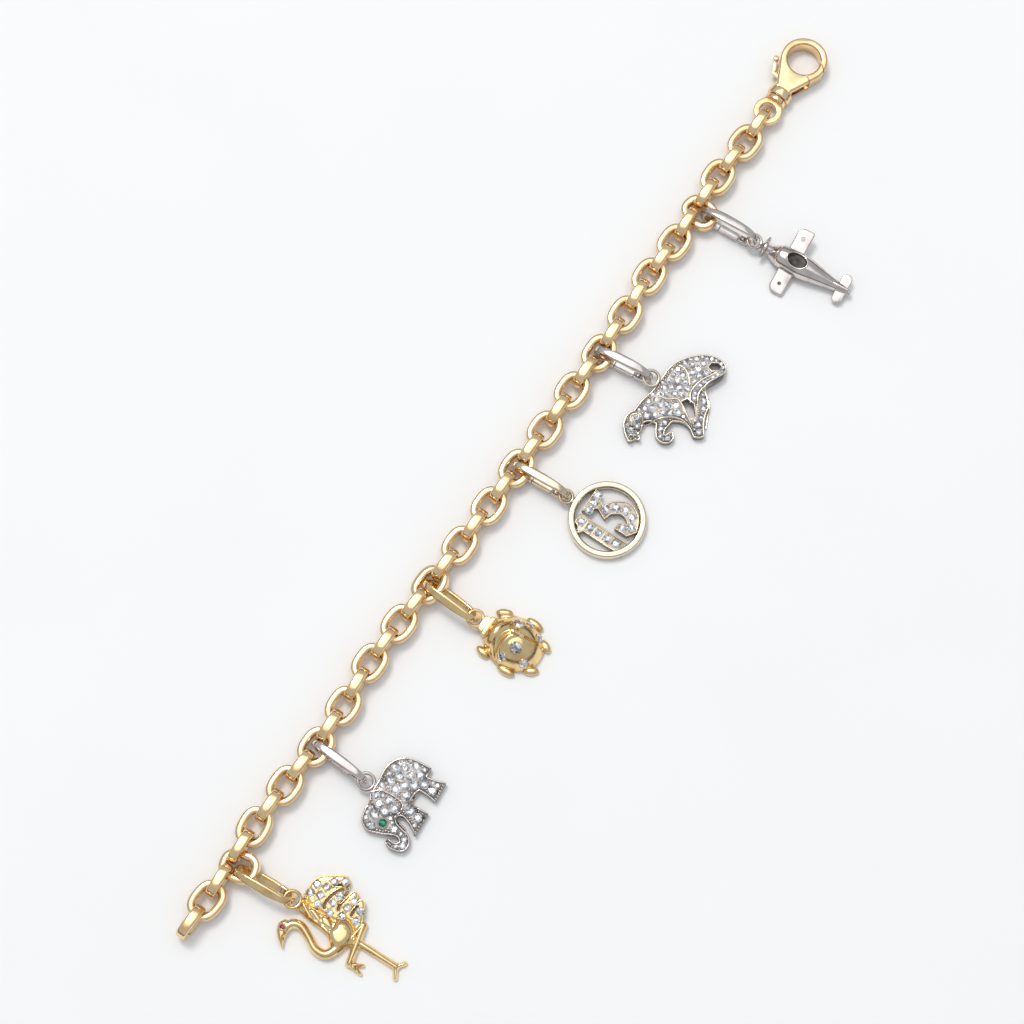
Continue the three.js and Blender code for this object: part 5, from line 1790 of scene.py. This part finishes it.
@dataclass
class BigCat(Paved):
    """Prowling cat in white gold, its whole side set with small stones between plain lines."""

    long: float = 20.9
    tall: float = 12.8
    thick: float = 2.2
    slant: float = 0.3
    stones: tuple[float, ...] = (1.22, 1.02, 0.82, 0.64)
    grains: tuple[float, ...] = (0.36, 0.24)
    tail_stone: float = 0.8
    tail_pitch: float = 0.88
    tail: tuple[Point, ...] = (
        (0.7, -8.3), (1.83, -7.65), (3.05, -7.5), (4.6, -7.9), (6.0, -8.6), (7.3, -9.15), (8.5, -9.0),
        (9.0, -8.0), (8.7, -6.6), (7.7, -5.2))
    # Grooves of the face and the paws: their ends and half widths
    marks: tuple[tuple[Point, Point, float], ...] = (
        ((-9.2, -2.0), (-9.0, -2.5), 0.36), ((-8.7, -3.1), (-8.4, -3.5), 0.36),
        ((-10.7, -2.9), (-10.2, -3.9), 0.28), ((-7.3, -7.4), (-6.8, -7.9), 0.2),
        ((-3.4, -11.2), (-2.9, -12.0), 0.24), ((-2.5, -10.6), (-1.8, -11.3), 0.24))
    lines: tuple[tuple[Point, ...], ...] = (
        ((-1.65, -1.9), (-1.8, -3.2), (-1.5, -4.4), (-0.56, -5.7), (-1.1, -7.2), (-2.1, -8.8),
         (-2.75, -10.0)),
        ((-7.5, -3.3), (-6.5, -4.0), (-4.9, -5.3), (-3.7, -6.7), (-3.1, -8.2), (-3.2, -9.6)),
        ((4.65, -2.7), (4.53, -4.0), (3.78, -5.1), (2.68, -6.1)),
        ((0.15, -7.9), (1.55, -6.95), (3.03, -6.9), (4.6, -7.3), (6.0, -8.0), (7.1, -8.6)),
        ((0.5, -9.1), (1.97, -8.25), (3.06, -8.12), (4.0, -8.35)),
        ((-6.45, -1.0), (-6.3, -1.8), (-6.75, -2.8), (-7.5, -3.3)),
        ((-6.6, -1.5), (-7.1, -0.95), (-7.9, -1.0), (-8.3, -1.6)),
        ((-10.4, -2.3), (-10.0, -3.1), (-9.2, -3.9)),
        ((3.3, -9.1), (2.2, -10.6), (0.2, -11.5), (-1.7, -12.4)),
    )

    def cast(self) -> Cast:
        """The domed body, with the tail raised across it and the face and paws marked.

        Returns:
            The cast.
        """
        outline = outline_of(BIG_CAT_OUTLINE, self.long, self.tall)
        marks = [Bead(curve(start, end), half, -0.55) for start, end, half in self.marks]
        holes = [drawn_in(scaled(gap, self.long, self.tall), -0.2)[:-1] for gap in BIG_CAT_GAPS]
        parts = [Pillow(outline, 1.1, self.thick - 0.1, 1.6),
                 Tube(curve(*self.tail[:6]), (0.7, 0.85, 0.85, 0.8), 2.0, 2.45)]
        return Cast(parts, marks, holes)

    def dress(self) -> None:
        """Shows the body and its stones with the grains between them."""
        cast = self.cast()
        outline = cast.parts[0].loop
        ridges = [curve(*line) for line in self.lines]
        row = [(spot, self.tail_stone) for spot in along(self.tail, self.tail_pitch)]
        stones, grains = self.pave(cast, ridges, row)
        rims = [drawn_in(outline, 0.14), *(drawn_in(hole, -0.08) for hole in cast.holes)]
        # The body in a much darker copy of the white gold, painted shade between the stones; the lines,
        # rims and grains in a lighter copy, a painted highlight.
        self.metal("big_cat", SHADE_PAINTED_SEAT, cast.build())
        self.trim("big_cat", HIGHLIGHT_PAINTED_GRAIN, [bail_ring(2.0), ridges_on(cast, ridges, 0.17, 0.02),
                                     ridges_on(cast, rims, 0.16, 0.06), grains_on(cast, grains)])
        self.gems("big_cat_stones", stones_on(cast, [*row, *stones]))


@dataclass
class Medal(Charm):
    """Openwork medal: a bevelled rim round two numerals set with stones."""

    across: float = 13.4
    rim: float = 1.25
    thick: float = 1.8
    numeral: float = 1.5
    stone: float = 1.5
    middle: Point = (0.6, -7.85)

    def dress(self) -> None:
        """Shows the rim, the numerals in raised edges, and their stones."""
        outer, inner, full = self.across / 2, self.across / 2 - self.rim, self.thick
        size = (self.across, self.across)
        rim = lathe([(inner, 0), (outer - 0.25, 0), (outer, 0.45 * full), (outer - 0.16, full - 0.1),
                     (outer - 0.34, full), (inner + 0.2, full), (inner, full - 0.3), (inner, 0)], 120)
        soften(rim, 0.08, 2, 20)
        centre = Matrix.Translation((*self.middle, 0))
        loops = [scaled(NUMERAL_ONE, *size), outline_of(NUMERAL_THREE, *size)]
        edges = [wire([(x, y, self.numeral) for x, y in drawn_in(loop, 0.1)], 0.13, sides=10)
                 for loop in loops]
        spots = scaled(NUMERAL_STONES, *size)
        grains = round_each(spots, [self.numeral] * len(spots), 0.8, 0.7)
        beads = copies(ball((0.16, 0.16, 0.16), 10, 6), grains)
        self.metal("medal", PALE, placed(joined([rim, *edges, beads]), centre), [bail_ring(1.75, 0.86)])
        # The numerals' floors under the stones, in a darker copy of the pale gold: painted shade between
        # the stones.
        shade_painted_seats = joined(slab(loop, 0.1, self.numeral - 0.06) for loop in loops)
        self.trim("medal", PALE_SHADE_PAINTED_SEAT, [placed(shade_painted_seats, centre)])
        self.gems("medal_stones", placed(copies(brilliant(self.stone), [
            Matrix.Translation((x, y, self.numeral)) @ Matrix.Rotation(i, 4, "Z")
            for i, (x, y) in enumerate(spots)]), centre))


@dataclass(frozen=True)
class Spot:
    """A stone on the ladybird's wing cases, as shares of its width and length from its middle."""

    across: float
    along: float
    size: float

    def setting(self) -> Mesh:
        """The low wall round the stone.

        Returns:
            The mesh about the stone's own place.
        """
        half = self.size / 2
        return lathe([(0, -0.3), (half + 0.12, -0.3), (half + 0.12, 0.04), (half + 0.02, 0.1),
                      (half - 0.06, 0.02), (half - 0.1, -0.12), (0, -0.12)], 48)


@dataclass(frozen=True)
class Leg:
    """A leg: its middle as shares of the body, its turn in degrees and its length."""

    across: float
    along: float
    turn: float
    long: float


@dataclass
class Ladybird(Charm):
    """Ladybird in polished yellow gold with six stones on its wing cases."""

    long: float = 10.1
    wide: float = 9.0
    high: float = 4.4
    middle: Point = (0.4, -7.6)
    spots: tuple[Spot, ...] = tuple(Spot(*row) for row in (
        (-0.12, -0.09, 2.0), (-0.395, 0.03, 1.7), (-0.26, -0.33, 1.75), (0.33, 0.1, 1.85),
        (0.46, -0.05, 1.4), (0.33, -0.3, 1.65)))
    legs: tuple[Leg, ...] = tuple(Leg(*row) for row in (
        (-0.465, 0.355, 12, 2.7), (0.37, 0.43, -30, 2.9), (-0.51, -0.13, -4, 3.3),
        (0.51, -0.09, 4, 3.3), (-0.25, -0.475, -35, 2.7), (0.28, -0.44, 25, 2.5)))

    def seat(self, spot: Spot) -> Matrix:
        """A stone's frame on the dome, its Z along the surface's normal.

        Args:
            spot: the stone.

        Returns:
            The frame.
        """
        a, b = self.wide / 2, self.long / 2
        x, y = spot.across * self.wide * 0.94, spot.along * self.long
        z = self.high * math.sqrt(1 - (x / a) ** 2 - (y / b) ** 2)
        normal = Vector((x / a**2, y / b**2, z / self.high**2)).normalized()
        turn = Vector((0, 0, 1)).rotation_difference(normal).to_matrix().to_4x4()
        return Matrix.Translation((self.middle[0] + x, self.middle[1] + y, z)) @ turn

    def dome(self) -> Mesh:
        """The wing cases, with the seam between them and the line behind the shoulders.

        Returns:
            The mesh in the charm's frame.
        """
        bm = half_ball((self.wide / 2, self.long / 2, self.high), 288, 144)
        front = curve((-4.0, 0.9), (-3.3, 1.5), (-1.7, 2.0), (-0.2, 1.85), (0.9, 1.05))
        right = curve((0.9, 1.05), (1.9, 1.9), (3.5, 2.2))
        seam = curve((0.9, 1.05), (1.15, -1.0), (1.35, -3.0), (1.5, -4.7))
        gap = curve((1.35, -1.2), (1.6, -3.0), (1.75, -4.7))
        lines = (Bead(front, 0.5, -0.4), Bead(right, 0.44, -0.34), Bead(seam, 0.46, 0.28),
                 Bead(gap, 0.4, -0.8), Bead(front + (0.05, -0.65), 0.8, 0.22),
                 Bead(right + (0.1, -0.6), 0.75, 0.18))
        verts = [v for v in bm.verts if v.co.z > 0.1]
        xy = np.array([v.co.xy for v in verts])
        for vert, rise in zip(verts, sum(line.change(xy) for line in lines)):
            vert.co.z = max(vert.co.z + rise, 0.1)
        return placed(bm, Matrix.Translation((*self.middle, 0)))

    def dress(self) -> None:
        """Shows the body with its legs, collar and settings, and the stones."""
        centre_x, centre_y = self.middle
        skirt = soften(placed(slab(outline_of(BEETLE_OUTLINE, self.wide, self.long), 0.1, 1.1),
                              Matrix.Translation((centre_x, centre_y, 0))), 0.3, 3, 50)
        head = placed(half_ball((0.36 * self.wide, 0.17 * self.long, 0.8 * self.high), 64, 40),
                      Matrix.Translation((centre_x - 0.25, centre_y + 0.345 * self.long, 0)))
        neck = soften(slab([(-1.2, -1.1), (1.3, -1.1), (1.9, -3.2), (-1.7, -3.2)], 0.4, 2.6), 0.18, 3)
        band = soften(slab([(-1.75, -2.1), (1.8, -2.1), (1.95, -3.0), (-1.85, -3.0)], 0.4, 2.9), 0.22, 3)
        legs = [placed(ball((0.74, leg.long / 2, 0.58), 32, 20),
                       Matrix.Translation((centre_x + leg.across * self.wide,
                                           centre_y + leg.along * self.long, 0.62)),
                       Matrix.Rotation(math.radians(-leg.turn), 4, "Z")) for leg in self.legs]
        settings = [placed(spot.setting(), self.seat(spot)) for spot in self.spots]
        stones = [placed(brilliant(spot.size), self.seat(spot), Matrix.Translation((0, 0, -0.02)))
                  for spot in self.spots]
        self.metal("ladybird", DEEP, self.dome(),
                   [skirt, head, neck, band, bail_ring(2.2), *legs, *settings])
        self.gems("ladybird_stones", joined(stones), DIAMOND, tuple(f"diamond_{i}" for i in range(1, 7)))


@dataclass
class Flamingo(Charm):
    """Wading bird in yellow gold with stones in its plumes and a ruby eye."""

    long: float = 15.7
    tall: float = 20.9
    thick: float = 1.98
    stone: float = 1.42
    # The eye as shares of the size
    eye: Point = (-0.285, -0.06)
    heart: tuple[Point, ...] = (
        (0.15, -7.95), (1.05, -7.96), (1.67, -8.42), (1.95, -9.18), (1.77, -10.03), (1.26, -10.78),
        (0.5, -11.2), (-0.5, -11.3), (-1.5, -11.1), (-2.2, -10.5), (-2.3, -9.7), (-2.0, -8.8),
        (-1.5, -8.1), (-0.7, -7.75))
    leaves: tuple[tuple[Point, ...], ...] = (
        ((1.1, -1.2), (-0.05, -1.91), (-0.85, -3.64), (-0.98, -5.37), (-1.1, -6.48), (-1.4, -7.7),
         (-0.7, -8.1), (-0.38, -7.08), (-0.5, -6.01), (-0.37, -4.52), (0.14, -3.29), (0.6, -2.35)),
        ((0.1, -3.2), (0.78, -3.47), (0.62, -4.5), (0.12, -5.59), (-0.53, -6.3), (-0.5, -4.8)),
        ((-0.53, -6.13), (0.16, -5.55), (0.83, -5.81), (0.85, -6.65), (0.4, -7.48), (0.0, -7.85),
         (-0.5, -7.74)))
    stones: tuple[Point, ...] = (
        (2.61, -1.75), (4.28, -1.85), (6.1, -3.9), (7.1, -5.3), (1.73, -3.7), (3.1, -3.3), (4.7, -3.4),
        (1.7, -6.1), (3.26, -5.75), (4.79, -6.0), (2.44, -8.1), (3.9, -8.0), (5.4, -8.3), (3.0, -10.4),
        (4.6, -10.1))
    row: tuple[Point, ...] = (
        (1.4, -4.6), (2.1, -2.92), (2.94, -2.65), (3.97, -2.53), (5.08, -2.65), (6.1, -3.1))
    slots: tuple[tuple[Point, ...], ...] = (
        ((1.75, -5.2), (2.1, -4.75), (2.9, -4.66), (4.5, -4.95), (5.9, -5.7), (6.6, -6.2)),
        ((2.75, -7.06), (3.3, -6.85), (4.2, -6.84), (5.6, -7.1)),
        ((3.2, -9.3), (4.06, -9.2), (5.2, -9.3)))
    # The legs' bars: ends as shares of the size, half widths at the ends, height
    limbs: tuple[tuple[Point, Point, Point, float], ...] = (
        ((0.2, -0.56), (-0.2, -0.64), (0.84, 0.54), 1.8),
        ((-0.2, -0.635), (-0.215, -0.755), (0.42, 0.28), 1.3),
        ((-0.19, -0.66), (-0.13, -0.735), (0.4, 0.26), 1.3),
        ((0.03, -0.57), (0.05, -0.95), (0.7, 0.54), 1.5),
        ((0.05, -0.945), (-0.05, -0.995), (0.5, 0.34), 1.3),
        ((0.05, -0.945), (0.13, -0.99), (0.5, 0.34), 1.3))

    def path(self, *points: Point) -> np.ndarray:
        """A smooth path through points given as shares of the bird."""
        return curve(*scaled(points, self.long, self.tall))

    def outline(self, runs: Sequence[Sequence[Point]]) -> np.ndarray:
        """A closed outline given as shares of the bird."""
        return outline_of(runs, self.long, self.tall)

    def cast(self) -> Cast:
        """The head and neck, the breast in two leaves and a heart, the wing and the legs.

        Returns:
            The cast.
        """
        neck = self.path((-0.31, -0.075), (-0.205, -0.1), (-0.17, -0.17), (-0.215, -0.265),
                         (-0.275, -0.36), (-0.26, -0.45), (-0.15, -0.49), (-0.02, -0.5))
        limbs = [Tube(self.path(start, end), halves, 0.5, high)
                 for start, end, halves, high in self.limbs]
        rises = ((0.38, 1.3), (0.2, 0.6), (0.12, 0.5), (0.16, 0.5))
        leaves = [Pillow(curve(*leaf, leaf[0])[:-1], self.thick - 0.35, self.thick + high, edge)
                  for leaf, (high, edge) in zip((self.heart, *self.leaves), rises)]
        parts = [
            Pillow(self.outline(BIRD_HEAD), 1.2, self.thick, 0.7),
            Tube(neck, (0.7, 0.84, 0.78, 0.75, 0.8, 0.88, 0.98, 1.05), 0.8, self.thick + 0.05),
            Pillow(self.outline(BIRD_CHEST), 1.1, self.thick - 0.2, 1.0),
            Pillow(self.outline(BIRD_WING), 1.2, self.thick - 0.15, 0.6),
            *leaves,
            *limbs,
        ]
        lines = [
            Bead(curve((1.3, -1.6), (1.0, -2.7), (1.0, -4.2), (1.05, -5.6), (1.1, -6.9), (1.0, -7.6),
                       (2.0, -8.1), (2.35, -9.2), (2.1, -10.3), (1.4, -11.2)), 0.26, -0.55),
            Bead(self.path((-0.36, -0.12), (-0.3, -0.09), (-0.27, -0.02)), 0.22, -0.26),
            Bead(self.path((-0.44, -0.14), (-0.36, -0.105)), 0.2, -0.34),
        ]
        return Cast(parts, lines, [ribbon(slot, 0.2) for slot in self.slots], voxel=0.1, rounds=3)

    def dress(self) -> None:
        """Shows the body with the claws that hold its stones, the stones and the eye."""
        cast = self.cast()
        spots = np.array(self.stones)
        claws = copies(ball((0.17, 0.17, 0.26), 10, 6),
                       round_each(spots, cast.height(spots) + 0.04, 0.7, 0.4))
        wing = cast.parts[3].loop
        edges = [drawn_in(wing, 0.14), curve(*self.row), *(drawn_in(hole, -0.16) for hole in cast.holes)]
        rim = ridges_on(cast, edges, 0.13, 0.04)
        eye = (self.eye[0] * self.long, self.eye[1] * self.tall)
        ring = circle(eye, 0.55, self.thick - 0.02, 24)
        self.metal("flamingo", DEEP, cast.build(), [bail_ring(2.05), claws, rim, wire(ring, 0.13, True)])
        self.gems("flamingo_stones", stones_on(cast, [(spot, self.stone) for spot in spots]))
        eye_stone = placed(brilliant(0.95), Matrix.Translation((*eye, self.thick - 0.06)))
        self.gems("ruby_eye_cut", eye_stone, RUBY, ("ruby_eye",))


@dataclass
class Plane(Charm):
    """Propeller plane in polished white gold with an open cockpit."""

    long: float = 15.4
    wide: float = 4.2
    span: float = 12.3
    chord: float = 2.9
    wing: float = 0.8
    nose: float = -3.2
    # Shares of the way from the nose to the tail
    wings_at: float = 0.26
    cockpit_at: float = 0.32
    tail_at: float = 0.9
    cockpit: tuple[float, float, float] = (1.28, 1.85, 1.45)
    bank: float = -12.0
    # The fuselage's sections: place along, half width and half height as shares
    sections: tuple[Place, ...] = (
        (0.0, 0.25, 0.25), (0.03, 0.31, 0.29), (0.1, 0.44, 0.42), (0.14, 0.48, 0.45), (0.22, 0.5, 0.46),
        (0.38, 0.52, 0.45), (0.56, 0.41, 0.38), (0.76, 0.26, 0.26), (0.88, 0.18, 0.19),
        (1.0, 0.12, 0.13))

    @property
    def belly(self) -> float:
        """How high the fuselage's middle lies where it is thickest."""
        return 0.46 * self.wide

    def size_at(self, along: float) -> tuple[float, float, float]:
        """The fuselage's half width, half height and middle this share along, with the cowling's seam.

        Args:
            along: the share, from the nose.

        Returns:
            The half width, the half height and the middle.
        """
        rows = np.array(run_through(self.sections, 8))
        wide, high = (float(np.interp(along, rows[:, 0], rows[:, k])) * self.wide for k in (1, 2))
        dip = 1 - 0.05 * math.exp(-(((along - 0.093) / 0.008) ** 2))
        return wide * dip, high * dip, self.belly - 0.4 * (self.belly - high)

    def fuselage(self) -> Mesh:
        """The body, hollowed at the cockpit.

        Returns:
            The mesh in the charm's frame.
        """
        stations = []
        for along in np.concatenate([np.linspace(0, 0.2, 44), np.linspace(0.21, 1, 60)]):
            wide, high, middle = self.size_at(float(along))
            stations.append(station((0, self.nose - along * self.long, middle),
                                    (wide, 0, 0), (0, 0, high)))
        return cut(swept(round_section(48), stations, False), self.well(1.0))

    def well(self, share: float) -> Mesh:
        """The cockpit's hollow, its plan grown by a share."""
        place = Matrix.Translation((0, self.nose - self.cockpit_at * self.long, 2 * self.belly))
        return placed(ball(self.cockpit, 48, 24), place, Matrix.Diagonal((share, share, 1, 1)))

    def coaming(self) -> Mesh:
        """The raised rim round the cockpit.

        Returns:
            The mesh in the charm's frame.
        """
        path = []
        for t in np.arange(56) * math.pi / 28:
            x, y = 1.34 * math.cos(t), 1.9 * math.sin(t)
            wide, high, middle = self.size_at(self.cockpit_at - y / self.long)
            path.append((x, self.nose - self.cockpit_at * self.long + y,
                         middle + high * math.sqrt(1 - (x / wide) ** 2) + 0.02))
        return wire(path, 0.16, True, 10)

    def bar(self, half_long: float, half_wide: float, back: float, front: float) -> list[Point]:
        """A flat bar's outline with rounded corners, of one radius behind and another in front.

        Args:
            half_long: half its length.
            half_wide: half its width.
            back: the radius behind.
            front: the radius in front.

        Returns:
            The outline's corners.
        """
        corners = ((1, -1, back), (1, 1, front), (-1, 1, front), (-1, -1, back))
        return [spot for i, (x, y, radius) in enumerate(corners)
                for spot in arc((x * (half_long - radius), y * (half_wide - radius)), radius,
                                (i - 1) * math.pi / 2, i * math.pi / 2, CAP_STEPS)]

    def wings(self) -> Mesh:
        """The two wings as one rounded bar, with a round hole near each tip.

        Returns:
            The mesh about its own middle.
        """
        plan = self.bar(self.span / 2, self.chord / 2, 0.45, 1.3)
        bar = soften(slab(plan, -self.wing / 2, self.wing / 2), 0.26, 4, 50)
        for share, radius in ((-0.7, 0.34), (0.7, 0.42)):
            bar = cut(bar, placed(rod(radius, -1, 1), Matrix.Translation((share * self.span / 2, 0, 0))))
        return bar

    def dress(self) -> None:
        """Shows the plane."""
        roll = Matrix.Rotation(math.radians(self.bank), 4, "Y")
        wings_y, tail_y = (self.nose - share * self.long for share in (self.wings_at, self.tail_at))
        wings = placed(self.wings(), Matrix.Translation((0, wings_y, 0.86 * self.belly)), roll)
        tail = soften(slab(self.bar(0.42 * self.wide + 0.95, 0.95, 0.93, 0.93), -0.3, 0.3), 0.16, 3, 50)
        placed(tail, Matrix.Translation((0, tail_y, 0.75 * self.belly)), roll)
        fin = box((0.5, 0.2 * self.long, 1.5),
                  Matrix.Translation((0, tail_y + 0.4, 0.75 * self.belly + 0.6)), roll)
        soften(fin, 0.18, 4)
        blade = placed(ball((2.2, 0.5, 0.9), 48, 24),
                       Matrix.Translation((0, self.nose + 1.1, self.belly)))
        hub = lathe([(0, -1.0), (0.75, -1.0), (0.8, 0.0), (1.25, 0.2), (1.25, 0.65), (0.6, 1.0),
                     (0.3, 1.4), (0, 1.5)], 40)
        soften(hub, 0.1, 2, 25)
        placed(hub, Matrix.Translation((0, self.nose + 0.6, self.belly)),
               Matrix.Rotation(-math.pi / 2, 4, "X"))
        self.metal("plane", WHITE, self.fuselage(), [
            self.coaming(), wings, tail, fin, blade, hub, bail_ring(2.0, 0.92)])
        # A near-black lining inside the cockpit: a painted shadow in the hollow.
        self.trim("plane", SHADE_PAINTED_HOLLOW, [kept_from(self.well(1.04), 2 * self.belly - 0.75, False)])


CHARMS = {"flamingo": Flamingo, "elephant": Elephant, "ladybird": Ladybird, "medal": Medal,
          "big_cat": BigCat, "plane": Plane}


# Studio


@dataclass
class Studio:
    """A white sweep under soft light, seen steeply from above."""

    look_at: Vector = Vector((-0.00546, 0.01011, 0.0))
    photo_up: Vector = Vector((0.8219, 0.5697, 0.0))
    away: float = 0.42
    elevation: float = 76.0
    lens: float = 87.9
    floor_half: float = 1.6
    wall_radius: float = 1.0
    wall_high: float = 0.24

    def floor(self) -> None:
        """The white surface the bracelet lies on."""
        bm = bmesh.new()
        bmesh.ops.create_grid(bm, x_segments=1, y_segments=1, size=self.floor_half)
        obj = shown(bm, "sweep")
        paper, nodes, shader = started("white_paper", Roughness=0.9)
        place = nodes.add("TexCoord")
        grain = nodes.add("TexNoise", Scale=30.0)
        tone = nodes.blend((0.90, 0.90, 0.905), (0.93, 0.93, 0.935))
        nodes.link(place, "Object", grain, "Vector")
        nodes.link(grain, "Fac", tone, "Factor")
        nodes.link(tone, "Result", shader, "Base Color")
        obj.data.materials.append(paper)

    def surround(self) -> None:
        """Even light from everywhere above, with a dark wall low down that polished metal mirrors."""
        world = bpy.data.worlds.new("studio_air")
        world.use_nodes = True
        back = world.node_tree.nodes["Background"]
        back.inputs["Color"].default_value = (0.89, 0.945, 1.0, 1.0)
        back.inputs["Strength"].default_value = 0.6
        bpy.context.scene.world = world
        wall = rod(self.wall_radius, -0.01, self.wall_high, 96)
        ends = [face for face in wall.faces if abs(face.normal.z) > 0.5]
        bmesh.ops.delete(wall, geom=ends, context="FACES_ONLY")
        obj = shown(wall, "low_wall")
        felt, _, _ = started("dark_felt", Base_Color=(0.16, 0.14, 0.12, 1.0), Roughness=0.95)
        obj.data.materials.append(felt)
        obj.visible_camera = False

    def lamp(self, name: str, spot: Vector, size: float, power: float, colour: Colour) -> None:
        """A square soft light at a place, turned to the bracelet.

        Args:
            name: the light's name.
            spot: where it stands, from the place that the camera looks at.
            size: its side.
            power: its power in watts.
            colour: its colour.
        """
        data = bpy.data.lights.new(name, "AREA")
        data.shape, data.size, data.energy, data.color = "SQUARE", size, power, colour
        obj = bpy.data.objects.new(name, data)
        obj.location = self.look_at + spot
        obj.rotation_mode = "QUATERNION"
        obj.rotation_quaternion = (self.look_at - obj.location).to_track_quat("-Z", "Y")
        bpy.context.scene.collection.objects.link(obj)

    def camera(self) -> None:
        """The camera, steeply above the bracelet and turned so that it crosses the picture."""
        tilt = math.radians(self.elevation)
        back = -self.photo_up * math.cos(tilt) + Vector((0, 0, math.sin(tilt)))
        up = (self.photo_up * math.sin(tilt) + Vector((0, 0, math.cos(tilt)))).normalized()
        view = Matrix((up.cross(back), up, back)).transposed().to_4x4()
        view.translation = self.look_at + back * self.away
        data = bpy.data.cameras.new("camera")
        data.lens, data.sensor_width = self.lens, 36.0
        data.clip_start, data.clip_end = 0.01, 10.0
        obj = bpy.data.objects.new("camera", data)
        obj.matrix_world = view
        bpy.context.scene.collection.objects.link(obj)
        bpy.context.scene.camera = obj

    def build(self) -> None:
        """Everything round the bracelet."""
        self.floor()
        self.surround()
        self.lamp("key", Vector((0.378, 0.798, 2.07)), size=0.6, power=17.5, colour=(1.0, 0.95, 0.88))
        self.lamp("overhead", self.photo_up * 0.3 + Vector((0, 0, 1.3)), size=1.2, power=4.4,
                  colour=(1.0, 1.0, 1.0))
        self.camera()
        bpy.context.scene.view_settings.view_transform = "Standard"


def main() -> None:
    """Builds the bracelet in the row frame and the studio round it."""
    logging.basicConfig(level=logging.INFO, format="%(name)s: %(message)s")
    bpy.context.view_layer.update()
    chain = Chain()
    chain.lay()
    chain.dress()
    Clasp(chain.places[-1]).dress()
    for name, hanger in HANGERS.items():
        Carrier(hanger, hanger.carrier_place(chain.crossings)).dress()
        CHARMS[name](hanger.charm_place(chain.crossings)).dress()
    Studio().build()


if __name__ == "__main__":
    main()
